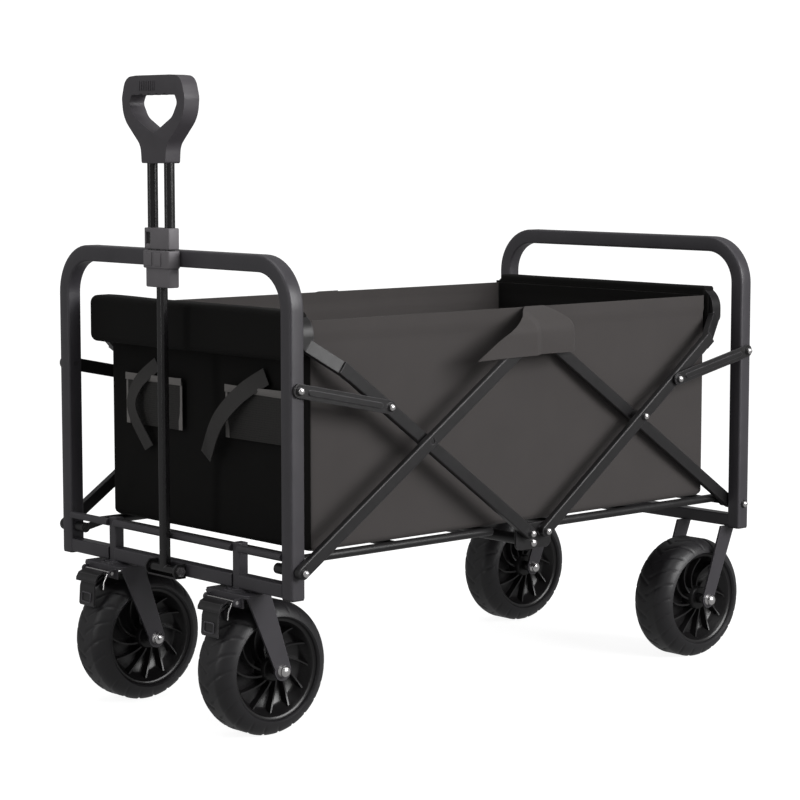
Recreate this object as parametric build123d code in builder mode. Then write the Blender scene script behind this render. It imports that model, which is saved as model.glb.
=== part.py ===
from build123d import *
from math import atan2, degrees, sqrt
import os

# Folding camp wagon.  X runs from the pull-handle end (-X) to the tail (+X), Y across, Z up.
# The origin is on the ground, midway between the wheel axles.  Everything is in millimetres.

# ---- driving dimensions -------------------------------------------------------------------
# wheels
wheel_d = 178
wheel_width = 76
wheelbase = 778
front_track = 276
rear_track = 370
rim_d = 134
rim_width = 62
hub_d = 34
axle_d = 10
bush_d = 15
tyre_shoulder = 18
spokes = 12

# end hoops
frame_mid_x = 6            # the hoops' middle, behind the wheels' middle
frame_length = 878         # over the outer faces of both hoops
frame_width = 511
frame_top = 628
upright_foot = 197
tube = 22
tube_wall = 1.2
tube_edge = 3
hoop_corner = 68           # outside radius
cross_tube = 18
thin_tube_d = 10
thin_tube_z = 249
thin_tube_lead = 7.5       # ahead of the middle of the posts
cap_thickness = 2

# folding sides
bar_width = 17
bar_thickness = 10
bar_wall = 1.2
bar_edge = 1.6
lane_gap = 1.5             # between bars that pass each other
low_pivot_z = 232          # scissor bar on the upright
top_pivot_z = 494.6        # the two scissor bars at the middle of a side
top_half = 42              # half the distance between the two top pivots
centre_half = 15           # half the distance between the two bottom pivots
rail_pivot_z = 236         # rail bar on the bottom bracket
rail_bend_x = 390          # from the middle of the frame
rail_bend_z = 513
rail_lean_x = 346          # where a rail's side member starts to lean in to its top bar
rail_top_y = 226           # middle of the top bar's risers
rail_top = 554
rail_corner = 24
pin_d = 8
pin_clearance = 0.1
open_pivot_clearance = 3.5
rivet_d = 12.5
rivet_height = 3.4
washer_gap = 0.3

# struts between uprights and rails
strut_upright_z = 461
strut_rail_x = 277         # from the middle of the frame
strut_width = 18
strut_thickness = 2.5
strut_bead = 7
strut_bead_height = 1.5

# brackets at the middle of each side
bracket_thickness = 4
top_bracket_length = 108
top_bracket_height = 24
low_bracket_length = 66
low_bracket_height = 36
centre_tube_d = 16
centre_tube_z = 222

# floor frames
floor_tube_d = 12
floor_tube_z = 239
floor_arm_reach = 372      # from the pivot on the upright to the free end
floor_rungs = 3
floor_lug = 4
floor_lug_length = 34
floor_lug_width = 9

# casters
caster_trail = 34
post = 15
post_top = 256
caster_race_d = 34
caster_race = 3
crown_thickness = 4
crown_length = 72
crown_lip = 13
fork_plate = 3.5
fork_gap = 3               # between the tyre and each fork plate
fork_foot = 26
fork_head = 38
wheel_headroom = 12        # between the tyre and the fork's crown
axle_head_d = 17
axle_head = 5

# parking brakes
pedal_width = 56
pedal_thickness = 4
pedal_reach = 20.5         # from the hinge to the front of the plate
pedal_drop = 46
pedal_pin_d = 5
pedal_bush = 1             # wall of the rolled edge round the pin
pedal_gap = 2.5
pedal_ear = 3
pedal_ear_gap = 2

# rear wheel mounts
rear_arm_head = 30
rear_arm_foot = 24
rear_arm_plate = 3.5

# pull handle
handle_gap = 3             # between the handle tube and the front hoop
handle_width = 14
handle_depth = 12
handle_pivot_z = 205
handle_top = 640
handle_bolt_d = 8
handle_foot_width = 58     # barrel across the foot of the handle tube
bracket_cheek = 3
bracket_cheek_height = 20
bracket_base = 2
rod_d = 14
rod_spacing = 37
rod_bottom = 588
rod_top = 752
collar_width = 54
collar_depth = 28
collar_top = 657
collar_shoulder = 603
collar_bottom = 579
collar_sleeve_width = 34
collar_sleeve_depth = 20
collar_lip = 5
collar_lip_gap = 1.6
collar_lip_reach = 17
sliding_gap = 0.4
grip_width = 138
grip_top = 855
grip_bottom = 741
grip_depth = 24
grip_bar = 24
grip_socket_width = 52

# basket
basket_length = 758
basket_width = 438
basket_top = 543.5
basket_bottom = 246
basket_corner = 6
fabric = 3
sewn_gap = 0.3
sleeve_wall = 2
sleeve_skirt = 62          # height of the folded flap that hangs from the front rail
sleeve_skirt_thickness = 12
side_flap_top = 40
side_flap_width = 188
side_flap_drop = 68
pocket_width = 126
pocket_height = 66
pocket_depth = 5
pocket_z = 380
pocket_inset = 36
strap_width = 22
strap_thickness = 2
strap_bow = 18
strap_reach = 50           # from its middle to each sewn end
strap_y = 92
strap_z = 350

# ---- worked out from these ----------------------------------------------------------------
wheel_r = wheel_d / 2
front_axle_x = -wheelbase / 2
rear_axle_x = wheelbase / 2
caster_x = front_axle_x - caster_trail
upright_y = frame_width / 2 - tube / 2           # middle of an upright
upright_x = frame_length / 2 - tube / 2          # from frame_mid_x
outer_lane = frame_width / 2 + lane_gap + bar_thickness / 2
rail_lane = outer_lane - bar_thickness - 2.5
inner_lane = frame_width / 2 - tube - 1 - bar_thickness / 2
bar_slope = (top_pivot_z - low_pivot_z) / (upright_x - top_half)
rail_slope = (rail_bend_z - rail_pivot_z) / (rail_bend_x - centre_half)
# where a scissor bar crosses a rail bar, as a distance from the middle of the frame
cross_x = (
    (low_pivot_z + bar_slope * upright_x) - (rail_pivot_z - rail_slope * centre_half)
) / (bar_slope + rail_slope)
cross_z = low_pivot_z + bar_slope * (upright_x - cross_x)
strut_rail_z = rail_pivot_z + rail_slope * (strut_rail_x - centre_half)
hole_d = pin_d + 2 * pin_clearance
crown_z = wheel_d + wheel_headroom               # underside of the fork's crown
race_z = crown_z + crown_thickness
post_foot = race_z + caster_race
handle_x = frame_mid_x - frame_length / 2 - handle_gap - handle_depth / 2
floor_arm_y = inner_lane - bar_thickness / 2 - 1 - floor_tube_d / 2
basket_x = basket_length / 2
SIDES = (-1, 1)                                  # -1 is the left side, as it is pulled
FRONT, REAR = -1, 1

os.makedirs("parts", exist_ok=True)


def save(piece, node):
    """Label a finished piece and write it."""
    piece.part.label = node
    export_step(piece.part, f"parts/{node}.step")


def along(end, x):
    """A distance from the middle of the frame, towards one end, as an X coordinate."""
    return frame_mid_x + end * x


def side_plane(y):
    """A plane facing -Y through y, with X and Z as its own axes."""
    return Plane.XZ.offset(-y)


def drill(x, z, d, y_from, y_to):
    """A hole along Y."""
    with BuildSketch(side_plane(y_to)) as section:
        with Locations((x, z)):
            Circle(d / 2)
    extrude(section.sketch, amount=y_to - y_from, mode=Mode.SUBTRACT)


def rod(x, z, d, y_from, y_to):
    """A round rod along Y."""
    with BuildSketch(side_plane(y_to)) as section:
        with Locations((x, z)):
            Circle(d / 2)
    extrude(section.sketch, amount=y_to - y_from)


def rivet(x, z, d, side, y_out, y_in, head_d=rivet_d, head_height=rivet_height):
    """A domed rivet whose head stands outwards from y_out and whose shank ends at y_in."""
    plane = Plane(origin=(x, side * y_out, z), x_dir=(1, 0, 0), z_dir=(0, side, 0))
    with BuildSketch(plane) as head:
        Circle(head_d / 2)
    extrude(head.sketch, amount=head_height, taper=32)
    with BuildSketch(plane) as shank:
        Circle(d / 2)
    extrude(shank.sketch, amount=-(y_out - y_in))


def slot_bar(p, q, y_mid, width, thickness, wall, holes, edge=bar_edge):
    """A flat-sided tube with rounded ends from p to q, both (x, z), with holes along Y."""
    middle = ((p[0] + q[0]) / 2, (p[1] + q[1]) / 2)
    reach = sqrt((q[0] - p[0]) ** 2 + (q[1] - p[1]) ** 2)
    turn = degrees(atan2(q[1] - p[1], q[0] - p[0]))
    with BuildSketch(side_plane(y_mid)) as outside:
        with Locations(middle):
            SlotCenterToCenter(reach, width, rotation=turn)
    extrude(outside.sketch, amount=thickness / 2, both=True)
    rim_edges = edges(Select.LAST).filter_by(
        lambda e: abs(abs(e.center().Y - y_mid) - thickness / 2) < 0.01)
    fillet(rim_edges, edge)
    with BuildSketch(side_plane(y_mid)) as inside:
        with Locations(middle):
            SlotCenterToCenter(reach, width - 2 * wall, rotation=turn)
    extrude(inside.sketch, amount=thickness / 2 - wall, both=True, mode=Mode.SUBTRACT)
    for (x, z), d in holes:
        drill(x, z, d, y_mid - thickness, y_mid + thickness)


# ---- wheels -------------------------------------------------------------------------------
def wheel(node, x, y):
    """A moulded dish rim, its tyre and its hub bush, turning about Y."""
    axle = Plane(origin=(x, y, wheel_r), x_dir=(1, 0, 0), z_dir=(0, 1, 0))
    half, rim_half = wheel_width / 2, rim_width / 2
    rim_r, hub_r = rim_d / 2, hub_d / 2
    seat = 3
    profile = Plane(origin=(x, y, wheel_r), x_dir=(1, 0, 0), z_dir=(0, 0, 1))

    with BuildPart() as tyre:
        with BuildSketch(profile):
            with Locations((rim_r + (wheel_r - rim_r) / 2, 0)):
                Rectangle(wheel_r - rim_r, wheel_width)
            fillet(vertices().group_by(Axis.X)[-1], tyre_shoulder)
            fillet(vertices().group_by(Axis.X)[0], seat)
        revolve(axis=Axis((x, y, wheel_r), (0, 1, 0)))
    save(tyre, f"tyre_{node}")

    with BuildPart() as rim:
        with BuildSketch(profile):
            with Locations((rim_r - seat, 0)):
                Rectangle(2 * seat, rim_width)
            with Locations(((rim_r + hub_r) / 2, 0)):
                Rectangle(rim_r - hub_r, 4)
            with Locations(((hub_r + bush_d / 2) / 2, 0)):
                Rectangle(hub_r - bush_d / 2, rim_width - 12)
        revolve(axis=Axis((x, y, wheel_r), (0, 1, 0)))
        with BuildSketch(axle.offset(-rim_half + 8)):
            with PolarLocations((rim_r + hub_r) / 2, spokes):
                Rectangle(rim_r - hub_r - 3, 3)
        extrude(amount=rim_width - 16)
    save(rim, f"rim_{node}")

    with BuildPart() as bush:
        with BuildSketch(axle.offset(-half + 6)):
            Circle(bush_d / 2)
            Circle(axle_d / 2 + pin_clearance / 2, mode=Mode.SUBTRACT)
        extrude(amount=wheel_width - 12)
    save(bush, f"hub_bush_{node}")


for side, name in zip(SIDES, ("left", "right")):
    wheel(f"front_{name}", front_axle_x, side * front_track / 2)
    wheel(f"rear_{name}", rear_axle_x, side * rear_track / 2)


# ---- end hoops and their cross tubes ------------------------------------------------------
def hoop_line(inset_foot):
    y = upright_y
    top = frame_top - tube / 2
    return FilletPolyline(
        (-y, upright_foot + inset_foot), (-y, top), (y, top), (y, upright_foot + inset_foot),
        radius=hoop_corner - tube / 2,
    )


for end, node in ((FRONT, "front_hoop"), (REAR, "rear_hoop")):
    with BuildPart() as hoop:
        with BuildSketch(Plane.YZ.offset(along(end, upright_x))):
            with BuildLine():
                hoop_line(0)
            trace(line_width=tube)
        extrude(amount=tube / 2, both=True)
        fillet(edges().filter_by(GeomType.LINE).filter_by(Axis.Z), tube_edge)
        with BuildSketch(Plane.YZ.offset(along(end, upright_x))):
            with BuildLine():
                hoop_line(-tube)
            trace(line_width=tube - 2 * tube_wall)
        extrude(amount=tube / 2 - tube_wall, both=True, mode=Mode.SUBTRACT)
        for side in SIDES:
            y = side * upright_y
            for z in (low_pivot_z, strut_upright_z):
                drill(along(end, upright_x), z, pin_d, y - tube, y + tube)
    save(hoop, node)

    with BuildPart() as caps:
        for side in SIDES:
            foot = (along(end, upright_x), side * upright_y)
            with BuildSketch(Plane.XY.offset(upright_foot - cap_thickness)):
                with Locations(foot):
                    RectangleRounded(tube - 1, tube - 1, tube_edge)
            extrude(amount=cap_thickness)
            with BuildSketch(Plane.XY.offset(upright_foot)):
                with Locations(foot):
                    Rectangle(tube - 2 * tube_wall - 0.4, tube - 2 * tube_wall - 0.4)
            extrude(amount=14)
    save(caps, node.replace("hoop", "end_caps"))

post_x = caster_x
inner_y = frame_width / 2 - tube
with BuildPart() as caster_posts:
    for side in SIDES:
        with BuildSketch(Plane.XY.offset(post_foot)):
            with Locations((post_x, side * front_track / 2)):
                RectangleRounded(post, post, 2)
        extrude(amount=post_top - post_foot)
        with BuildSketch(Plane.XY.offset(race_z + 1)):
            with Locations((post_x, side * front_track / 2)):
                Circle(caster_race_d / 2)
        extrude(amount=caster_race - 1)
save(caster_posts, "caster_posts")


def between_posts():
    """The stretches of a front cross tube that the caster posts leave, as (y, length)."""
    near = front_track / 2 - post / 2
    far = front_track / 2 + post / 2
    return [(0, 2 * near)] + [(s * (far + inner_y) / 2, inner_y - far) for s in SIDES]


with BuildPart() as front_cross_tube:
    for y, length in between_posts():
        with BuildSketch(Plane.XZ.offset(-y)):
            with Locations((post_x, upright_foot + cross_tube / 2)):
                RectangleRounded(cross_tube, cross_tube, 2)
                Rectangle(cross_tube - 2.4, cross_tube - 2.4, mode=Mode.SUBTRACT)
        extrude(amount=length / 2, both=True)
save(front_cross_tube, "front_cross_tube")

with BuildPart() as front_thin_tube:
    for y, length in between_posts():
        rod(post_x - thin_tube_lead, thin_tube_z, thin_tube_d, y - length / 2, y + length / 2)
save(front_thin_tube, "front_thin_tube")

with BuildPart() as rear_cross_tube:
    with BuildSketch(Plane.XZ):
        with Locations((along(REAR, upright_x), upright_foot + cross_tube / 2)):
            RectangleRounded(cross_tube, cross_tube, 2)
            Rectangle(cross_tube - 2.4, cross_tube - 2.4, mode=Mode.SUBTRACT)
    extrude(amount=inner_y, both=True)
save(rear_cross_tube, "rear_cross_tube")

# ---- folding sides ------------------------------------------------------------------------
outer_face = outer_lane + bar_thickness / 2
rail_outer, rail_inner = rail_lane + bar_thickness / 2, rail_lane - bar_thickness / 2
inner_face = inner_lane - bar_thickness / 2
arm_outer = floor_arm_y + floor_lug / 2
arm_inner = floor_arm_y - floor_lug / 2

for end, end_name, lane in ((FRONT, "front", outer_lane), (REAR, "rear", inner_lane)):
    low = (along(end, upright_x), low_pivot_z)
    top = (along(end, top_half), top_pivot_z)
    cross = (along(end, cross_x), cross_z)
    for side, side_name in zip(SIDES, ("left", "right")):
        with BuildPart() as scissor_bar:
            slot_bar(low, top, side * lane, bar_width, bar_thickness, bar_wall,
                     [(low, hole_d), (top, hole_d), (cross, pin_d)])
        save(scissor_bar, f"scissor_bar_{end_name}_{side_name}")


rail_lean_z = rail_pivot_z + rail_slope * (rail_lean_x - centre_half)
for end, end_name in ((FRONT, "front"), (REAR, "rear")):
    low = (along(end, centre_half), rail_pivot_z)
    knee = (along(end, rail_lean_x), rail_lean_z)
    bend = (along(end, rail_bend_x), rail_bend_z)
    cross = (along(end, cross_x), cross_z)
    top_line = rail_top - bar_thickness / 2
    low_hole = hole_d if end == FRONT else pin_d
    with BuildPart() as rail:
        for side in SIDES:
            slot_bar(low, knee, side * rail_lane, bar_width, bar_thickness, bar_wall, [])
            # the stretch that leans in from the side member to the riser
            lean = Vector(bend[0] - knee[0], side * (rail_top_y - rail_lane), bend[1] - knee[1])
            run = Vector(bend[0] - knee[0], 0, bend[1] - knee[1])
            start = Plane(origin=(knee[0], side * rail_lane, knee[1]), x_dir=(0, 1, 0), z_dir=run)
            with BuildSketch(start) as section:
                Rectangle(bar_thickness, bar_width)
            extrude(section.sketch, amount=lean.length, dir=lean.normalized())
            rod(*bend, bar_width, side * rail_top_y - bar_thickness / 2,
                side * rail_top_y + bar_thickness / 2)
        for band, depth, mode in (
            (bar_thickness, bar_width, Mode.ADD),
            (bar_thickness - 2 * bar_wall, bar_width - 2 * bar_wall, Mode.SUBTRACT),
        ):
            with BuildSketch(Plane.YZ.offset(bend[0])):
                with BuildLine():
                    FilletPolyline(
                        (-rail_top_y, rail_bend_z), (-rail_top_y, top_line),
                        (rail_top_y, top_line), (rail_top_y, rail_bend_z), radius=rail_corner,
                    )
                trace(line_width=band)
            extrude(amount=depth / 2, both=True, mode=mode)
        for side in SIDES:
            y = side * rail_lane
            drill(*low, low_hole, y - bar_thickness, y + bar_thickness)
            drill(*cross, hole_d, y - bar_thickness, y + bar_thickness)
    save(rail, f"{end_name}_basket_rail")

# the pins and rivets, grouped by what they are fixed to
with BuildPart() as front_frame_rivets:
    for side in SIDES:
        rivet(along(FRONT, upright_x), low_pivot_z, pin_d, side, outer_face + washer_gap, arm_inner)
        rivet(along(FRONT, upright_x), strut_upright_z, pin_d, side,
              outer_lane - bar_thickness / 2 + strut_thickness + washer_gap, inner_y)
        # spacer between the upright and the floor frame's lug
        with BuildSketch(Plane.XZ.offset(-side * (arm_outer + washer_gap))):
            with Locations((along(FRONT, upright_x), low_pivot_z)):
                Circle(pin_d / 2 + 3)
                Circle(pin_d / 2, mode=Mode.SUBTRACT)
        extrude(amount=-side * (inner_y - arm_outer - washer_gap))
save(front_frame_rivets, "front_frame_rivets")

with BuildPart() as rear_frame_rivets:
    for side in SIDES:
        rivet(along(REAR, upright_x), low_pivot_z, pin_d, side, frame_width / 2, arm_inner)
        rivet(along(REAR, upright_x), strut_upright_z, pin_d, side,
              outer_lane - bar_thickness / 2 + strut_thickness + washer_gap, inner_y)
save(rear_frame_rivets, "rear_frame_rivets")

with BuildPart() as scissor_pins_front:
    for side in SIDES:
        rod(along(FRONT, cross_x), cross_z, pin_d,
            *sorted((side * (outer_face - bar_wall), side * rail_inner)))
        rod(along(FRONT, cross_x), cross_z, rivet_d,
            *sorted((side * (rail_inner - washer_gap), side * (rail_inner - 3))))
        rod(along(FRONT, cross_x), cross_z, pin_d,
            *sorted((side * rail_inner, side * (rail_inner - washer_gap))))
save(scissor_pins_front, "scissor_pins_front")

with BuildPart() as scissor_pins_rear:
    for side in SIDES:
        rivet(along(REAR, cross_x), cross_z, pin_d, side, rail_outer + washer_gap, inner_face)
        with BuildSketch(Plane.XZ.offset(-side * (inner_lane + bar_thickness / 2))):
            with Locations((along(REAR, cross_x), cross_z)):
                Circle(pin_d / 2 + 3)
                Circle(pin_d / 2, mode=Mode.SUBTRACT)
        extrude(amount=-side * (rail_inner - washer_gap - inner_lane - bar_thickness / 2))
save(scissor_pins_rear, "scissor_pins_rear")

# the small bracket at the middle of each side, under the fabric flap
with BuildPart() as top_brackets:
    for side in SIDES:
        with BuildSketch(side_plane(side * rail_lane)):
            with Locations((frame_mid_x, top_pivot_z)):
                RectangleRounded(top_bracket_length, top_bracket_height, 8)
        extrude(amount=bar_thickness / 2 - 1, both=True)
        rod(along(FRONT, top_half), top_pivot_z, pin_d,
            *sorted((side * rail_lane, side * (outer_face + 2))))
        rod(along(REAR, top_half), top_pivot_z, pin_d,
            *sorted((side * rail_lane, side * inner_face)))
save(top_brackets, "top_brackets")

# the bottom bracket plates and the tube that ties them under the floor
plate_out = rail_inner - washer_gap - 1.5
with BuildPart() as bottom_bracket:
    for side in SIDES:
        with BuildSketch(side_plane(side * (plate_out - bracket_thickness / 2))):
            with Locations((frame_mid_x, rail_pivot_z - 6)):
                RectangleRounded(low_bracket_length, low_bracket_height, 9)
        extrude(amount=bracket_thickness / 2, both=True)
        drill(along(REAR, centre_half), rail_pivot_z, pin_d + 2 * open_pivot_clearance,
              *sorted((side * (plate_out + 2), side * (plate_out - 2 * bracket_thickness))))
        rivet(along(FRONT, centre_half), rail_pivot_z, pin_d, side, rail_outer + washer_gap,
              plate_out - bracket_thickness)
    rod(frame_mid_x, centre_tube_z, centre_tube_d,
        -plate_out + bracket_thickness, plate_out - bracket_thickness)
save(bottom_bracket, "bottom_bracket")

with BuildPart() as rail_foot_rivets:
    for side in SIDES:
        rivet(along(REAR, centre_half), rail_pivot_z, pin_d, side, rail_outer,
              plate_out - bracket_thickness + 0.5)
save(rail_foot_rivets, "rail_foot_rivets")

# struts from each upright to the rail bar beside it
for end, node in ((FRONT, "front_struts"), (REAR, "rear_struts")):
    on_upright = (along(end, upright_x), strut_upright_z)
    on_rail = (along(end, strut_rail_x), strut_rail_z)
    strut_in = outer_lane - bar_thickness / 2
    middle = ((on_upright[0] + on_rail[0]) / 2, (on_upright[1] + on_rail[1]) / 2)
    reach = sqrt((on_rail[0] - on_upright[0]) ** 2 + (on_rail[1] - on_upright[1]) ** 2)
    turn = degrees(atan2(on_rail[1] - on_upright[1], on_rail[0] - on_upright[0]))
    with BuildPart() as struts:
        for side in SIDES:
            outwards = Plane(origin=(0, side * strut_in, 0), x_dir=(1, 0, 0), z_dir=(0, -1, 0))
            with BuildSketch(outwards):
                with Locations(middle):
                    SlotCenterToCenter(reach, strut_width, rotation=turn)
            extrude(amount=-side * strut_thickness)
            with BuildSketch(outwards):
                with Locations(middle):
                    SlotCenterToCenter(reach - 2 * strut_width, strut_bead, rotation=turn)
            extrude(amount=-side * (strut_thickness + strut_bead_height))
            drill(*on_upright, hole_d, *sorted((side * (strut_in - 1), side * (strut_in + 9))))
            rivet(*on_rail, pin_d, side, strut_in + strut_thickness, rail_outer + washer_gap)
    save(struts, node)

# ---- floor frames -------------------------------------------------------------------------
for end, node in ((FRONT, "floor_frame_front"), (REAR, "floor_frame_rear")):
    free_end = upright_x - floor_arm_reach
    root_x = upright_x - floor_lug_length
    with BuildPart() as floor_frame:
        for side in SIDES:
            arm = Plane(origin=(along(end, free_end), side * floor_arm_y, floor_tube_z),
                        x_dir=(0, 1, 0), z_dir=(end, 0, 0))
            with BuildSketch(arm):
                Circle(floor_tube_d / 2)
            extrude(amount=root_x - free_end + 10)
            pivot = (along(end, upright_x), low_pivot_z)
            heel = (along(end, root_x), floor_tube_z)
            with BuildSketch(side_plane(side * floor_arm_y)):
                with BuildLine():
                    Line(pivot, heel)
                trace(line_width=floor_lug_width)
                with Locations(pivot):
                    Circle(floor_tube_d / 2 + 1)
                with Locations(heel):
                    Circle(floor_lug_width / 2)
            extrude(amount=floor_lug / 2, both=True)
            y = side * floor_arm_y
            drill(*pivot, hole_d, y - floor_tube_d, y + floor_tube_d)
        for rung in range(floor_rungs):
            x = free_end + floor_tube_d / 2 + rung * (root_x - free_end - floor_tube_d) / (floor_rungs - 1)
            rod(along(end, x), floor_tube_z, floor_tube_d - 3, -floor_arm_y, floor_arm_y)
    save(floor_frame, node)

# ---- casters ------------------------------------------------------------------------------
fork_half = wheel_width / 2 + fork_gap + fork_plate


def tapered_arm(y, x_top, z_top, head, x_foot, z_foot, foot, plate, hole):
    """A pressed arm, wide at its head, that tapers to a round foot about an axle."""
    with BuildSketch(side_plane(y)) as arm:
        with BuildLine():
            Polyline(
                (x_top - head / 2, z_top), (x_top + head / 2, z_top),
                (x_foot + foot / 2, z_foot + 3), (x_foot - foot / 2, z_foot + 3), close=True,
            )
        make_face()
        with Locations((x_foot, z_foot)):
            Circle(foot / 2)
    extrude(arm.sketch, amount=plate / 2, both=True)
    drill(x_foot, z_foot, hole, y - plate, y + plate)


crown_x = (caster_x + front_axle_x) / 2 - 6
crown_front = crown_x - crown_length / 2
hinge_x = crown_front - pedal_gap - pedal_bush - pedal_pin_d / 2
hinge_z = crown_z - 5
ear_y = pedal_width / 2 + pedal_ear_gap

for side, name in zip(SIDES, ("left", "right")):
    y0 = side * front_track / 2
    with BuildPart() as caster_fork:
        with BuildSketch(Plane.XY.offset(crown_z)):
            with Locations((crown_x, y0)):
                RectangleRounded(crown_length, 2 * fork_half, 7)
            with Locations((caster_x, y0)):
                Circle(pin_d / 2, mode=Mode.SUBTRACT)
        extrude(amount=crown_thickness)
        with BuildSketch(Plane.XY.offset(crown_z - crown_lip)):
            with Locations((crown_front + 1, y0)):
                Rectangle(2, 2 * fork_half - 16)
        extrude(amount=crown_lip + 1)
        # the ears that carry the pedal's pin
        for way in SIDES:
            with BuildSketch(side_plane(y0 + way * (ear_y + pedal_ear / 2))):
                with Locations((hinge_x, hinge_z)):
                    Circle(pedal_pin_d)
                with Locations(((hinge_x + crown_front + 1) / 2, hinge_z)):
                    Rectangle(crown_front + 1 - hinge_x, 2 * pedal_pin_d)
            extrude(amount=pedal_ear / 2, both=True)
            y_near = y0 + way * (ear_y - 1)
            y_far = y0 + way * (ear_y + pedal_ear + 1)
            drill(hinge_x, hinge_z, pedal_pin_d + 2 * pin_clearance, *sorted((y_near, y_far)))
        for y in (-fork_half + fork_plate / 2, fork_half - fork_plate / 2):
            tapered_arm(y0 + y, crown_front + 2 + fork_head / 2, crown_z + 1, fork_head,
                        front_axle_x, wheel_r, fork_foot, fork_plate, axle_d)
        # the pressed cup that the swivel race turns in
        with BuildSketch(Plane.XY.offset(race_z)):
            with Locations((caster_x, y0)):
                Circle(caster_race_d / 2 + 4)
                Circle(caster_race_d / 2 + 1.5, mode=Mode.SUBTRACT)
        extrude(amount=caster_race - 1)
    save(caster_fork, f"caster_fork_{name}")

    with BuildPart() as caster_hardware:
        y_out = fork_half
        for way in SIDES:
            axle_side = y0 + way * y_out
            with BuildSketch(Plane(origin=(front_axle_x, axle_side, wheel_r), x_dir=(1, 0, 0),
                                   z_dir=(0, way, 0))):
                Circle(axle_head_d / 2)
            extrude(amount=axle_head, taper=24)
        rod(front_axle_x, wheel_r, axle_d, y0 - y_out, y0 + y_out)
        with BuildSketch(Plane.XY.offset(crown_z - 4)):
            with Locations((caster_x, y0)):
                RegularPolygon(7, 6)
        extrude(amount=4)
        with BuildSketch(Plane.XY.offset(crown_z)):
            with Locations((caster_x, y0)):
                Circle(pin_d / 2)
        extrude(amount=race_z + 0.7 - crown_z)
    save(caster_hardware, f"caster_bolts_{name}")

    with BuildPart() as brake_pedal:
        with BuildSketch(side_plane(y0)):
            with BuildLine():
                FilletPolyline(
                    (hinge_x + 1, hinge_z), (hinge_x - pedal_reach + 4.5, hinge_z),
                    (hinge_x - pedal_reach, hinge_z - pedal_drop), radius=7,
                )
            trace(line_width=pedal_thickness)
        extrude(amount=pedal_width / 2, both=True)
        bush = pedal_pin_d + 2 * pedal_bush
        rod(hinge_x, hinge_z, bush, y0 - pedal_width / 2, y0 + pedal_width / 2)
        rod(hinge_x, hinge_z, pedal_pin_d, y0 - ear_y - pedal_ear - 1, y0 + ear_y + pedal_ear + 1)
    save(brake_pedal, f"brake_pedal_{name}")

# ---- rear wheel mounts --------------------------------------------------------------------
with BuildPart() as rear_wheel_mounts:
    for side in SIDES:
        y0 = side * rear_track / 2
        for y in (-fork_half + rear_arm_plate / 2, fork_half - rear_arm_plate / 2):
            tapered_arm(y0 + y, along(REAR, upright_x) - 4, upright_foot, rear_arm_head,
                        rear_axle_x, wheel_r, rear_arm_foot, rear_arm_plate, axle_d)
save(rear_wheel_mounts, "rear_wheel_mounts")

with BuildPart() as rear_axles:
    for side in SIDES:
        y0 = side * rear_track / 2
        for way in SIDES:
            with BuildSketch(Plane(origin=(rear_axle_x, y0 + way * fork_half, wheel_r),
                                   x_dir=(1, 0, 0), z_dir=(0, way, 0))):
                Circle(axle_head_d / 2)
            extrude(amount=axle_head, taper=24)
        rod(rear_axle_x, wheel_r, axle_d, y0 - fork_half, y0 + fork_half)
save(rear_axles, "rear_axles")

# ---- pull handle --------------------------------------------------------------------------
cheek_y = handle_foot_width / 2 + 0.5
with BuildPart() as handle_bracket:
    back_x = post_x - cross_tube / 2
    for side in SIDES:
        with BuildSketch(side_plane(side * (cheek_y + bracket_cheek / 2))):
            with Locations((handle_x, handle_pivot_z)):
                Circle(bracket_cheek_height / 2)
            with Locations(((handle_x + back_x) / 2, handle_pivot_z)):
                Rectangle(back_x - handle_x, bracket_cheek_height)
        extrude(amount=bracket_cheek / 2, both=True)
        drill(handle_x, handle_pivot_z, handle_bolt_d,
              *sorted((side * (cheek_y - 1), side * (cheek_y + bracket_cheek + 1))))
    # the base that joins the cheeks under the handle's foot
    base_front = handle_x - handle_depth / 2
    with BuildSketch(Plane.XY.offset(handle_pivot_z - bracket_cheek_height / 2)):
        with Locations(((base_front + back_x) / 2, 0)):
            Rectangle(back_x - base_front, 2 * cheek_y + bracket_cheek)
    extrude(amount=bracket_base)
save(handle_bracket, "handle_bracket")

with BuildPart() as handle_bolt:
    rod(handle_x, handle_pivot_z, handle_bolt_d, -cheek_y - bracket_cheek, cheek_y + bracket_cheek)
    for side in SIDES:
        with BuildSketch(Plane(origin=(handle_x, side * (cheek_y + bracket_cheek), handle_pivot_z),
                               x_dir=(1, 0, 0), z_dir=(0, side, 0))):
            RegularPolygon(7, 6)
        extrude(amount=4)
save(handle_bolt, "handle_bolt")

with BuildPart() as handle_tube:
    with BuildSketch(Plane.XY.offset(handle_pivot_z)):
        with Locations((handle_x, 0)):
            RectangleRounded(handle_depth, handle_width, 4)
    extrude(amount=handle_top - handle_pivot_z)
    with BuildSketch(side_plane(0)):
        with Locations((handle_x, handle_pivot_z)):
            Circle(handle_depth / 2)
    extrude(amount=handle_foot_width / 2, both=True)
    with BuildSketch(Plane.XY.offset(handle_pivot_z + 12)):
        with Locations((handle_x, 0)):
            RectangleRounded(handle_depth - 2.4, handle_width - 2.4, 3)
    extrude(amount=handle_top - handle_pivot_z, mode=Mode.SUBTRACT)
    drill(handle_x, handle_pivot_z, handle_bolt_d + 2 * pin_clearance,
          -handle_foot_width, handle_foot_width)
save(handle_tube, "handle_tube")

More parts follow.
